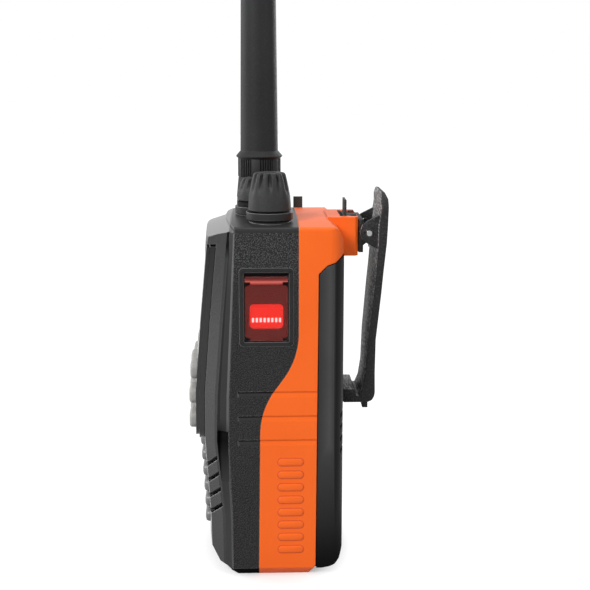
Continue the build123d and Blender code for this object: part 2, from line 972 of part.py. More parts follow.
def rear_case():
    shell = case_shell(case_groove_depth)
    shape = (shell - seam_front(0)) + (shell & bay_walls(0))
    shape -= case_gasket()
    shape -= battery_bay(0)
    shape += clip_boss()
    for place in screw_places():
        shape -= front_prism(Pos(*place) * Circle(screw_radius), bay_front - wall - 1, bay_front + 1)
        shape -= front_prism(Pos(*place) * Circle(screw_head_radius), bay_front - screw_head, bay_front + 1)
    width, height = case_contact_size
    for x in contact_places():
        shape -= block(span(x, width), (bay_front - wall - 1, bay_front + 1), span(contact_height, height))
    return shape - cross_rod(jack_place, jack_radius, -half_width - 1, -half_width + jack_depth)


def case_screws():
    solids = []
    seat = bay_front - screw_head
    for place in screw_places():
        head = front_prism(Pos(*place) * Circle(screw_head_radius - touch), seat, bay_front - touch)
        shank = front_prism(Pos(*place) * Circle(screw_radius - touch), bay_front - 4 * wall, seat)
        solids.append(head + shank)
    return Compound(children=solids)


def contact_places():
    for column in range(contact_count):
        yield (column - (contact_count - 1) / 2) * contact_pitch


def contact_blades(size, low, high):
    x_size, z_size = (side - 2 * touch for side in size)
    z = span(contact_height, z_size)
    return Compound(children=[block(span(x, x_size), (low, high), z) for x in contact_places()])


def jack_socket():
    outer = -half_width + touch
    inner = -half_width + jack_depth
    body = cross_rod(jack_place, jack_radius - touch, outer, inner)
    return body - cross_rod(jack_place, jack_bore, outer - 1, inner - jack_floor)


def jack_cover():
    y, z = jack_place
    width, height = jack_cover_size
    inner = -half_width - gap
    outer = inner - jack_cover_thickness
    plate = side_prism(rounded(span(y, width), span(z, height), jack_cover_corner), outer, inner)
    low = y - width / 2
    tab = block((outer, inner), (low, low + jack_tab_width), (z, jack_tab_top))
    hinge = ((outer + inner) / 2, y + width / 2)
    return plate + tab + rod(hinge, jack_barrel_radius, z - jack_barrel_half, z + jack_barrel_half)


# --- distress button ---------------------------------------------------------


def distress_cover():
    x = (distress_outer - distress_plate, distress_outer)
    y = span(distress_centre, distress_width)
    plate = side_prism(rounded(y, (distress_cover_bottom, distress_cover_top), distress_corner), *x)
    narrow = wider(y, -distress_tab_side)
    tab = block(x, narrow, (distress_cover_bottom - distress_tab, distress_cover_bottom + distress_tab))
    neck = block(x, narrow, (distress_cover_top - distress_tab, distress_hinge_z))
    place = Pos(*distress_axis())
    barrel = front_prism(place * Circle(distress_barrel), *y)
    bore = front_prism(place * Circle(distress_pin_radius + running), *wider(y, 1))
    return plate + tab + neck + barrel - bore


def distress_hinge_pin():
    y = wider(distress_pin_span(), -touch)
    return front_prism(Pos(*distress_axis()) * Circle(distress_pin_radius), *y)


def distress_button():
    cap = side_prism(button_outline(0), button_face - button_depth, button_face)
    return chamfer(cap.faces().sort_by(Axis.X)[-1].edges(), button_bevel)


def distress_seal():
    y = span(distress_centre, button_width + 2 * seal_margin)
    z = span(button_centre_z, button_height + 2 * seal_margin)
    return side_prism(rounded(y, z, button_corner), button_well - seal_thickness, button_well)


# --- side buttons ------------------------------------------------------------

def side_opening(centre, size, corner):
    y, z = centre
    return rounded(span(y, size[0]), span(z, size[1]), corner)


def side_key(centre, size, corner):
    outer = -half_width - side_key_proud
    inner = -half_width + wall + gap
    face = side_opening(centre, [side - 2 * gap for side in size], corner - gap)
    cap = side_prism(face, outer, inner)
    cap = chamfer(cap.faces().sort_by(Axis.X)[0].edges(), side_key_bevel)
    flange = side_opening(centre, [side + 2 * side_key_lip for side in size], corner)
    return cap + side_prism(flange, inner, inner + side_key_flange - gap)


# --- knobs -------------------------------------------------------------------

def knob(place, foot, top):
    height = top - foot
    body = frustum((0, 0), knob_radius, knob_crown, 0, height)
    body = chamfer(body.edges().group_by(Axis.Z)[-1], knob_crown_bevel)
    run = flute_share * height
    start = knob_crown + (knob_radius - knob_crown) * flute_share
    lean = math.atan((start - knob_crown + flute_depth) / run)
    offset_out = start + flute_width * math.sqrt(0.5) / math.cos(lean)
    for turn in range(knob_flutes):
        bar = Rot(Y=-math.degrees(lean)) * Rot(Z=45) * Box(flute_width, flute_width, 4 * height)
        body -= Rot(Z=turn * 360 / knob_flutes) * Pos(offset_out, 0, height - run) * bar
    recess = bush_radius + knob_seal_width + gap
    body -= rod((0, 0), recess, -1, knob_seal_recess)
    body -= rod((0, 0), shaft_radius, -1, height / 2)
    return Pos(*place, foot) * body


def knob_shaft(place, foot, top):
    roof = body_height - wall - collar_inside
    return rod(place, shaft_radius, roof - control_height / 2 + gap, (foot + top) / 2)


# --- antenna -----------------------------------------------------------------


def antenna_sheath():
    shoulder = antenna_tip - antenna_tip_radius
    outline = [
        (0, antenna_tip), (0, sleeve_bottom), (sleeve_radius, sleeve_bottom), (knurl_radius, knurl_bottom),
        (knurl_radius, flange_bottom), (flange_radius, flange_edge), (antenna_radius, antenna_root),
        (antenna_tip_radius, shoulder),
    ]
    slant = antenna_tip_radius * math.sqrt(0.5)
    dome = ThreePointArc((antenna_tip_radius, shoulder), (slant, shoulder + slant), (0, antenna_tip))
    shape = revolve(Plane.XZ * make_face([Polyline(*outline), dome]), Axis.Z)
    for group in range(knurl_groups):
        for rib in range(knurl_group_ribs):
            angle = group * 360 / knurl_groups + rib * knurl_pitch
            notch = block((knurl_radius - knurl_cut, knurl_radius + 1), span(0, knurl_cut_width),
                          (knurl_bottom, flange_bottom))
            shape -= Rot(Z=angle) * notch
    shape = Pos(*antenna_place, 0) * shape
    shape -= rod(antenna_place, core_radius, sleeve_bottom, antenna_tip - 2 * antenna_tip_radius)
    return shape - rod(antenna_place, socket_radius, sleeve_bottom - 1, sleeve_bottom + plug_nut)


def antenna_core():
    return rod(antenna_place, core_radius, sleeve_bottom + plug_nut, antenna_tip - 2 * antenna_tip_radius)


def antenna_plug():
    nut = rod(antenna_place, socket_radius, sleeve_bottom, sleeve_bottom + plug_nut)
    return nut + rod(antenna_place, plug_radius, collar_top - plug_length, sleeve_bottom)


def antenna_seal():
    ring = rod(antenna_place, sleeve_radius - seal_inset, collar_top, sleeve_bottom - touch)
    return ring - rod(antenna_place, plug_radius + gap, collar_top - 1, sleeve_bottom + 1)


# --- battery -----------------------------------------------------------------

def battery_outline():
    notch = shoulder_bottom - notch_depth
    low = case_rear_at(battery_foot) + gap
    return polygon(
        (low, battery_foot),
        (case_rear_top + gap, notch - notch_lip - gap),
        (case_rear_top + notch_lip, notch - 1.5 * gap),
        (shoulder_rear - notch_lip, notch + notch_lip / 3 - 1.5 * gap),
        (battery_rear, shoulder_bottom - 2.5 * gap),
        *((battery_rear - reach, battery_foot + rise) for reach, rise in heel_points),
    )


def battery_body():
    half = half_width - battery_side
    plan = polygon((-half, 0), (half, 0), (half, battery_rear), (-half, battery_rear))
    plan = soften(plan, [(half, battery_rear), (-half, battery_rear)], battery_corner)
    return side_prism(battery_outline(), -half, half) & plan_prism(plan, 0, body_height)


def battery_tub():
    z = (tub_bottom, bay_top - gap)
    half = bay_half - gap
    shape = block((-half, half), (bay_front + gap, case_rear_top + 1), z)
    rail = rail_half - gap
    return shape + block((-rail, rail), span(rail_centre, rail_width - 2 * gap), z)


def behind_split():
    return block((-half_width, half_width), (battery_split, 2 * half_width), (0, body_height))


def cell_room(clearance):
    half = bay_half - gap - battery_wall - clearance
    y = (bay_front + gap + battery_wall, battery_split - clearance)
    return block((-half, half), y, (battery_floor + clearance, bay_top - battery_roof - clearance))


def latch_room():
    half = latch_half + gap
    return block((-half, half), (case_rear_bottom, battery_split + latch_recess),
                 (0, battery_foot + latch_thickness + gap))


def battery_case():
    shape = battery_body() - behind_split() + battery_tub()
    shape -= behind_split()
    shape -= cell_room(0)
    shape -= latch_room()
    width, height = battery_contact_size
    for x in contact_places():
        shape -= block(span(x, width), (bay_front, bay_front + gap + battery_contact_depth),
                       span(contact_height, height))
    return shape


def battery_lid():
    shape = (battery_body() & behind_split()) - latch_room()
    cut = None
    for row in range(grip_slots):
        place = Pos(half_width - battery_corner, battery_rear, grip_first - row * grip_pitch)
        slot = place * Rot(Y=grip_slot_lean) * Box(*grip_slot_size)
        cut = slot if cut is None else cut + slot
    return shape - mirrored(cut)


def battery_cells():
    room = cell_room(gap).bounding_box()
    pitch = room.size.Z / cell_count
    solids = []
    for row in range(cell_count):
        low = room.min.Z + row * pitch
        cell = block((room.min.X, room.max.X), (room.min.Y, room.max.Y), (low, low + pitch - 2 * gap))
        solids.append(chamfer(cell.edges().filter_by(Axis.Z), cell_corner))
    return Compound(children=solids)


def battery_latch():
    low = case_rear_bottom + 4 * gap
    high = battery_split + latch_recess - latch_travel - gap
    plate = block((-latch_half, latch_half), (low, high), (battery_foot, battery_foot + latch_thickness))
    y = [low + reach for reach in latch_ridge]
    ridge = block((-latch_half + 2, latch_half - 2), y, (battery_foot - latch_ridge_height, battery_foot))
    return plate + ridge


def latch_spring():
    rear = battery_split + latch_recess
    top = battery_foot + latch_thickness + gap
    return block((-latch_half / 2, latch_half / 2), (rear - gap, rear), (battery_foot + 1, top))


# --- belt clip ---------------------------------------------------------------

def clip_base():
    top = body_height + crown_rise
    neck = boss_rear - slot_lip
    z = (slot_floor + gap, top - gap)
    shape = block((gap - slot_head_half, slot_head_half - gap), (neck - slot_head_depth + gap, neck - gap), z)
    shape += block((gap - slot_neck_half, slot_neck_half - gap), (neck - gap, boss_rear + gap), z)
    tab_y = span(neck - slot_head_depth / 2 - tab_setback, tab_thickness)
    shape += block((-tab_half, tab_half), tab_y, (top - 1, tab_top))
    lug_outer = ear_outer - ear_thickness - gap
    front = boss_rear + gap
    plate_z = (boss_bottom + plate_end, top - plate_end)
    shape += block((-lug_outer, lug_outer), (front, front + plate_thickness), plate_z)
    y, z = pin_place
    outline = polygon((front, z + lug_spur), (y, z - lug_radius), (y, z + lug_radius),
                      (front, z + lug_radius + 1))
    lug = side_prism(outline, lug_outer - lug_thickness, lug_outer)
    lug += cross_rod(pin_place, lug_radius, lug_outer - lug_thickness, lug_outer)
    shape += mirrored(lug)
    return shape - cross_rod(pin_place, pin_radius, -ear_outer, ear_outer)


def clip_pin():
    reach = ear_outer + pin_end
    return cross_rod(pin_place, pin_radius, -reach, reach)


def from_pin(points):
    y, z = pin_place
    return [(y + across, z + up) for across, up in points]


def clip_lever():
    y, z = pin_place
    outline = polygon(*from_pin(lever_rear_face + lever_tooth + lever_front_face))
    side = [(lever_foot_half + out, z + up) for up, out in lever_sides]
    side.append((lever_half, z + lever_rise))
    face = polygon(*side, *((-x, up) for x, up in reversed(side)))
    face = soften(face, [(lever_half, z + lever_rise), (-lever_half, z + lever_rise)], lever_crown)
    body = side_prism(outline, -lever_half, lever_half) & front_prism(face, 0, 2 * half_width)
    across, up = lever_nub
    body += block((-lever_nub_half, lever_nub_half), [y + step for step in across], [z + step for step in up])
    ear = polygon(*from_pin(ear_points))
    body += mirrored(side_prism(ear, ear_outer - ear_thickness, ear_outer))
    return body - cross_rod(pin_place, pin_radius + running, -ear_outer - 1, ear_outer + 1)


def clip_spring():
    inner = pin_radius + running
    outer = inner + coil_wire
    coil = cross_rod(pin_place, outer, -coil_half, coil_half)
    y, z = pin_place
    down, up = coil_legs
    coil += block((-coil_half, coil_wire - coil_half), (y + inner, y + outer), (z - down, z))
    coil += block((coil_half - coil_wire, coil_half), (y - outer, y - inner), (z, z + up))
    return coil - cross_rod(pin_place, inner, -coil_half - 1, coil_half + 1)


def all_parts():
    parts = {
        "front_housing": front_housing(),
        "front_cover": front_cover(),
        "display_bezel": display_bezel(),
        "display_window": display_window(),
        "display_module": display_module(),
        "keypad_mat": keypad_mat(),
        "rear_case": rear_case(),
        "case_gasket": case_gasket(),
        "case_screws": case_screws(),
        "chassis_plate": chassis_plate(),
        "circuit_board": circuit_board(),
        "board_screws": board_screws(),
        "shield_can": shield_can(),
        "speaker": speaker(),
        "speaker_membrane": speaker_membrane(),
        "microphone": microphone(),
        "side_switches": side_switches(),
        "volume_control": control(volume_place),
        "squelch_control": control(squelch_place),
        "knob_seals": knob_seals(),
        "volume_knob": knob(volume_place, volume_foot, volume_top),
        "squelch_knob": knob(squelch_place, squelch_foot, squelch_top),
        "volume_shaft": knob_shaft(volume_place, volume_foot, volume_top),
        "squelch_shaft": knob_shaft(squelch_place, squelch_foot, squelch_top),
        "antenna_socket": antenna_socket(),
        "antenna_sheath": antenna_sheath(),
        "antenna_core": antenna_core(),
        "antenna_plug": antenna_plug(),
        "antenna_seal": antenna_seal(),
        "case_contacts": contact_blades(case_contact_size, bay_front - wall - 1, bay_front),
        "jack_socket": jack_socket(),
        "jack_cover": jack_cover(),
        "distress_cover": distress_cover(),
        "distress_hinge_pin": distress_hinge_pin(),
        "distress_button": distress_button(),
        "distress_seal": distress_seal(),
        "ptt_button": side_key(ptt_centre, ptt_size, ptt_corner),
        "battery_case": battery_case(),
        "battery_lid": battery_lid(),
        "battery_cells": battery_cells(),
        "battery_contacts": contact_blades(battery_contact_size, bay_front + gap,
                                           bay_front + gap + battery_contact_depth),
        "battery_latch": battery_latch(),
        "latch_spring": latch_spring(),
        "clip_base": clip_base(),
        "clip_pin": clip_pin(),
        "clip_lever": clip_lever(),
        "clip_spring": clip_spring(),
    }
    for name, centre in side_key_centres.items():
        parts[name] = side_key(centre, side_key_size, side_key_corner)
    for name, x, z in key_places():
        parts[name] = key_cap(x, z)
    return parts


def main():
    os.makedirs("parts", exist_ok=True)
    for name, shape in all_parts().items():
        shape.label = name
        export_step(shape, f"parts/{name}.step")


if __name__ == "__main__":
    main()
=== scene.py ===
import json
import math
import bpy
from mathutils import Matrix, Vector


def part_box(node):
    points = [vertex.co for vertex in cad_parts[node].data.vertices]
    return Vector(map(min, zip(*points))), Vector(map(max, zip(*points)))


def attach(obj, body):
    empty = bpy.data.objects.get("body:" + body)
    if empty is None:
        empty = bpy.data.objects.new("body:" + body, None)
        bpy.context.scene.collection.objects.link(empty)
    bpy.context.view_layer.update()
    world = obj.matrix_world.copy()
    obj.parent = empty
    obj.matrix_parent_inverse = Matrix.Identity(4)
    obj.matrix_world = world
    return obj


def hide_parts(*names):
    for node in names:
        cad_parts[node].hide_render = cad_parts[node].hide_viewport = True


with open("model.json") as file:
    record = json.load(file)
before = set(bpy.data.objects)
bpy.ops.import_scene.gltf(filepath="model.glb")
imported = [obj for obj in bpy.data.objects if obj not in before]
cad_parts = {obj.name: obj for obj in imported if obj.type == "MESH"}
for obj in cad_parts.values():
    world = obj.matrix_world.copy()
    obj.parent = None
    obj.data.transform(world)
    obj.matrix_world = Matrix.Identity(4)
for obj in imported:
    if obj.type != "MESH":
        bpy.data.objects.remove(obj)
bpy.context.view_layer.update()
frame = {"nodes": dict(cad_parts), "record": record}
nodes = frame["nodes"]
mm = 0.001
print("frame loaded with", len(nodes), "nodes")


def objectMode():
    if bpy.context.object and bpy.context.object.mode != "OBJECT":
        bpy.ops.object.mode_set(mode="OBJECT")


def selectNothing():
    objectMode()
    bpy.ops.object.select_all(action="DESELECT")


def pick(piece):
    selectNothing()
    piece.select_set(True)
    bpy.context.view_layer.objects.active = piece


def choose(piece, kind, test):
    # leaves the piece in edit mode with only the matching verts, edges or faces selected
    pick(piece)
    bpy.ops.object.mode_set(mode="EDIT")
    bpy.ops.mesh.select_mode(type=kind)
    bpy.ops.mesh.select_all(action="DESELECT")
    bpy.ops.object.mode_set(mode="OBJECT")
    mesh = piece.data
    if kind == "VERT":
        for vert in mesh.vertices:
            vert.select = bool(test(vert.co))
    elif kind == "EDGE":
        for edge in mesh.edges:
            a, b = (mesh.vertices[i].co for i in edge.vertices)
            edge.select = bool(test(a, b))
    else:
        for face in mesh.polygons:
            face.select = bool(test(face.center, face.normal))
    bpy.ops.object.mode_set(mode="EDIT")


def chooseAll(piece):
    pick(piece)
    bpy.ops.object.mode_set(mode="EDIT")
    bpy.ops.mesh.select_all(action="SELECT")


def fixPlace():
    # the place, turn and size of what is selected go into its mesh
    bpy.ops.object.transform_apply(location=True, rotation=True, scale=True)


def applyModifier(piece, kind, **settings):
    pick(piece)
    modifier = piece.modifiers.new(kind.lower(), kind)
    for key, value in settings.items():
        setattr(modifier, key, value)
    bpy.ops.object.modifier_apply(modifier=modifier.name)


def roundEdges(piece, width, segments=2, angle=30):
    applyModifier(piece, "BEVEL", width=width, segments=segments, limit_method="ANGLE",
                  angle_limit=math.radians(angle), use_clamp_overlap=True)


def settle(piece, name, body, material, replaced=(), smooth=35):
    # the last step for every new piece: place into the mesh, shading, material and body
    pick(piece)
    piece.name = name
    fixPlace()
    bpy.ops.object.shade_smooth_by_angle(angle=math.radians(smooth))
    piece.data.materials.clear()
    piece.data.materials.append(material)
    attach(piece, body)
    if replaced:
        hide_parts(*replaced)
    return piece


def meshCopy(piece):
    twin = bpy.data.objects.new(piece.name + ".copy", piece.data.copy())
    bpy.context.collection.objects.link(twin)
    return twin


def boxPiece(low, high):
    low, high = Vector(low), Vector(high)
    selectNothing()
    bpy.ops.mesh.primitive_cube_add(size=1, location=(low + high) / 2)
    piece = bpy.context.object
    piece.scale = high - low
    fixPlace()
    return piece


def disc(radius, thick, count, turn, place=(0, 0, 0)):
    # radius and thickness in mm, its flat faces turned as told
    selectNothing()
    bpy.ops.mesh.primitive_cylinder_add(vertices=count, radius=radius * mm, depth=thick * mm, location=place,
                                        rotation=turn)
    fixPlace()
    return bpy.context.object


def middleOf(node):
    low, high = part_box(node)
    return (low + high) / 2


def inRow(count, pitch):
    # the places of an even row, on both sides of its middle
    return [(index - (count - 1) / 2) * pitch for index in range(count)]


def joinPieces(pieces):
    pick(pieces[0])
    for piece in pieces[1:]:
        piece.select_set(True)
    if len(pieces) > 1:
        bpy.ops.object.join()
    return pieces[0]


class Wire:
    # a socket that takes part in sums
    def __init__(self, finish, socket):
        self.finish = finish
        self.socket = socket

    def sum(self, operation, first, second=0):
        return self.finish.add("ShaderNodeMath", {"operation": operation}, {0: first, 1: second})

    def __add__(self, other):
        return self.sum("ADD", self, other)

    def __radd__(self, other):
        return self.sum("ADD", other, self)

    def __sub__(self, other):
        return self.sum("SUBTRACT", self, other)

    def __rsub__(self, other):
        return self.sum("SUBTRACT", other, self)

    def __mul__(self, other):
        return self.sum("MULTIPLY", self, other)

    def __rmul__(self, other):
        return self.sum("MULTIPLY", other, self)

    def __abs__(self):
        return self.sum("ABSOLUTE", self)

    def __gt__(self, other):
        return self.sum("GREATER_THAN", self, other)

    def __lt__(self, other):
        return self.sum("LESS_THAN", self, other)

    def peak(self, other):
        return self.sum("MAXIMUM", self, other)

    def between(self, low, high):
        # 1 from one place to another, both in mm, and 0 outside
        return (self > low * mm) * (self < high * mm)


class Nodes:
    # adds nodes to one tree: type, then settings, then the values or links of its sockets
    def __init__(self, tree):
        self.tree = tree

    def feed(self, socket, value):
        if isinstance(value, Wire):
            self.tree.links.new(value.socket, socket)
        elif isinstance(value, (tuple, list)) and len(value) == 3 and socket.type == "RGBA":
            socket.default_value = (*value, 1)
        else:
            socket.default_value = value

    def add(self, kind, settings=None, sockets=None, out=0):
        node = self.tree.nodes.new(kind)
        for key, value in (settings or {}).items():
            if key == "stops":
                ramp = node.color_ramp
                while len(ramp.elements) < len(value):
                    ramp.elements.new(0.5)
                for element, (position, level) in zip(ramp.elements, value):
                    element.position = position
                    element.color = (level, level, level, 1)
            else:
                setattr(node, key, value)
        for key, value in (sockets or {}).items():
            self.feed(node.inputs[key], value)
        return Wire(self, node.outputs[out]) if node.outputs else None

    def seenRays(self):
        # 1 for what the camera, metal and glass see, 0 for the light that falls on things
        camera, glass, metal = (self.add("ShaderNodeLightPath", out="Is " + kind + " Ray")
                                for kind in ("Camera", "Transmission", "Glossy"))
        return camera.peak(glass).peak(metal)


class Finish(Nodes):
    # one material: sums, textures and a principled shader
    def __init__(self, name, **sockets):
        self.material = bpy.data.materials.new(name)
        self.material.use_nodes = True
        super().__init__(self.material.node_tree)
        self.shader = self.tree.nodes["Principled BSDF"]
        self.place = self.add("ShaderNodeTexCoord", out="Object")
        self.set(**sockets)

    def set(self, **sockets):
        for key, value in sockets.items():
            self.feed(self.shader.inputs[key.replace("_", " ")], value)

    def noise(self, scale, detail=2.0, roughness=0.5, stretch=None, out=0):
        place = self.place
        if stretch:
            place = self.add("ShaderNodeMapping", None, {"Vector": place, "Scale": stretch})
        return self.add("ShaderNodeTexNoise", None,
                        {"Vector": place, "Scale": scale, "Detail": detail, "Roughness": roughness}, out)

    def pebbles(self, scale, unevenScale=500, uneven=0.6):
        # close-set soft bumps, pushed about by a fraction of a mm so that no row shows
        push = self.add("ShaderNodeVectorMath", {"operation": "SCALE"},
                        {0: self.noise(unevenScale, 1, out="Color"), "Scale": uneven * mm})
        place = self.add("ShaderNodeVectorMath", {"operation": "ADD"}, {0: self.place, 1: push})
        cells = self.add("ShaderNodeTexVoronoi", {"feature": "F1"}, {"Vector": place, "Scale": scale})
        return 1 - cells

    def ramp(self, wire, *stops):
        return self.add("ShaderNodeValToRGB", {"stops": stops}, {0: wire})

    def blend(self, factor, first, second):
        return self.add("ShaderNodeMix", {"data_type": "RGBA"}, {0: factor, 6: first, 7: second}, out=2)

    def axis(self, name):
        return self.add("ShaderNodeSeparateXYZ", None, {0: self.place}, out=name)

    def softNormal(self, edge):
        return self.add("ShaderNodeBevel", {"samples": 6}, {"Radius": edge})

    def rim(self, edge):
        # near 1 along an outer or inner edge, 0 on open faces
        soft = self.softNormal(edge)
        flat = self.add("ShaderNodeNewGeometry", out="Normal")
        same = self.add("ShaderNodeVectorMath", {"operation": "DOT_PRODUCT"}, {0: soft, 1: flat}, out="Value")
        return self.ramp(1 - same, (0.01, 0), (0.10, 1))

    def overlay(self, factor, shader):
        # lays another shader over the principled one
        under = Wire(self, self.shader.outputs[0])
        mixed = self.add("ShaderNodeMixShader", None, {0: factor, 1: under, 2: shader})
        self.tree.links.new(mixed.socket, self.tree.nodes["Material Output"].inputs["Surface"])

    def bump(self, height, strength, distance, edge=None):
        sockets = {"Height": height, "Strength": strength, "Distance": distance}
        if edge:
            sockets["Normal"] = self.softNormal(edge)
        self.set(Normal=self.add("ShaderNodeBump", None, sockets))


# a moulded plastic: colour with slow mottling, fine grain, faint scuffs, and soft edges painted paler, a
# painted highlight with a little wear;
# with a mask, the grain stays inside it and the rest takes the plain look;
# crease is painted shade that loses its gloss, calm is where edges get no painted highlight, line is a
# painted highlight of its own
def mouldedPlastic(name, look, plain=None, mask=None, crease=None, calm=None, line=None):
    finish = Finish(name)
    slow = finish.noise(look["mottleScale"], 3)
    if look["pebbles"]:
        grain = finish.pebbles(look["grainScale"])
    else:
        grain = finish.noise(look["grainScale"], look["grainDetail"], 0.6, look["grainStretch"])
    speckle = look["speckle"] * finish.ramp(grain, (look["speckleLow"], 0), (look["speckleHigh"], 1))
    if "speckleTop" in look:
        # painted light: the grain is painted paler close under the shoulder, where it catches more light
        speckle = speckle * (1 + look["speckleTop"] * finish.ramp(finish.axis("Z") * 8, (0.86, 0), (0.93, 1)))
    base = finish.blend(finish.ramp(slow, (0.35, 0), (0.65, 1)), look["colour"], look["mottle"])
    colour = finish.blend(speckle, base, look["light"])
    scuff = finish.ramp(finish.noise(90, 5, 0.65, (1, 1, 0.25)), (0.6, 0), (0.72, 1))
    rough = look["rough"] + grain * look["roughSpan"] - scuff * 0.05
    height = grain + slow * 0.2
    if mask:
        inside = mask(finish)
        colour = finish.blend(inside, finish.blend(slow, plain["colour"], plain["mottle"]), colour)
        rough = plain["rough"] + inside * (rough - plain["rough"])
        height = height * inside
    # painted highlight with a little wear: a paler colour along the edges
    if look["wearAndSheen"]:
        amount = finish.rim(look["edge"]) * look["wearAndSheen"]
        if calm:
            amount = amount * (1 - calm(finish))
        if line:
            amount = amount.peak(line(finish))
        colour = finish.blend(amount, colour, look.get("wornSheen", look["light"]))
    # painted shade: the crease darkens the colour and lays a dull dark shader over it
    if crease:
        shade = crease(finish)
        colour = finish.blend(shade, colour, look["paintedShade"])
        finish.overlay(shade, finish.add("ShaderNodeBsdfDiffuse", None, {"Color": look["paintedShade"]}))
    finish.set(Base_Color=colour, Roughness=rough, Specular_IOR_Level=look["specular"])
    if "coat" in look:
        finish.set(Coat_Weight=look["coat"], Coat_Roughness=look["coatRough"])
    finish.bump(height, look["bump"], look["depth"], look["edge"])
    return finish.material


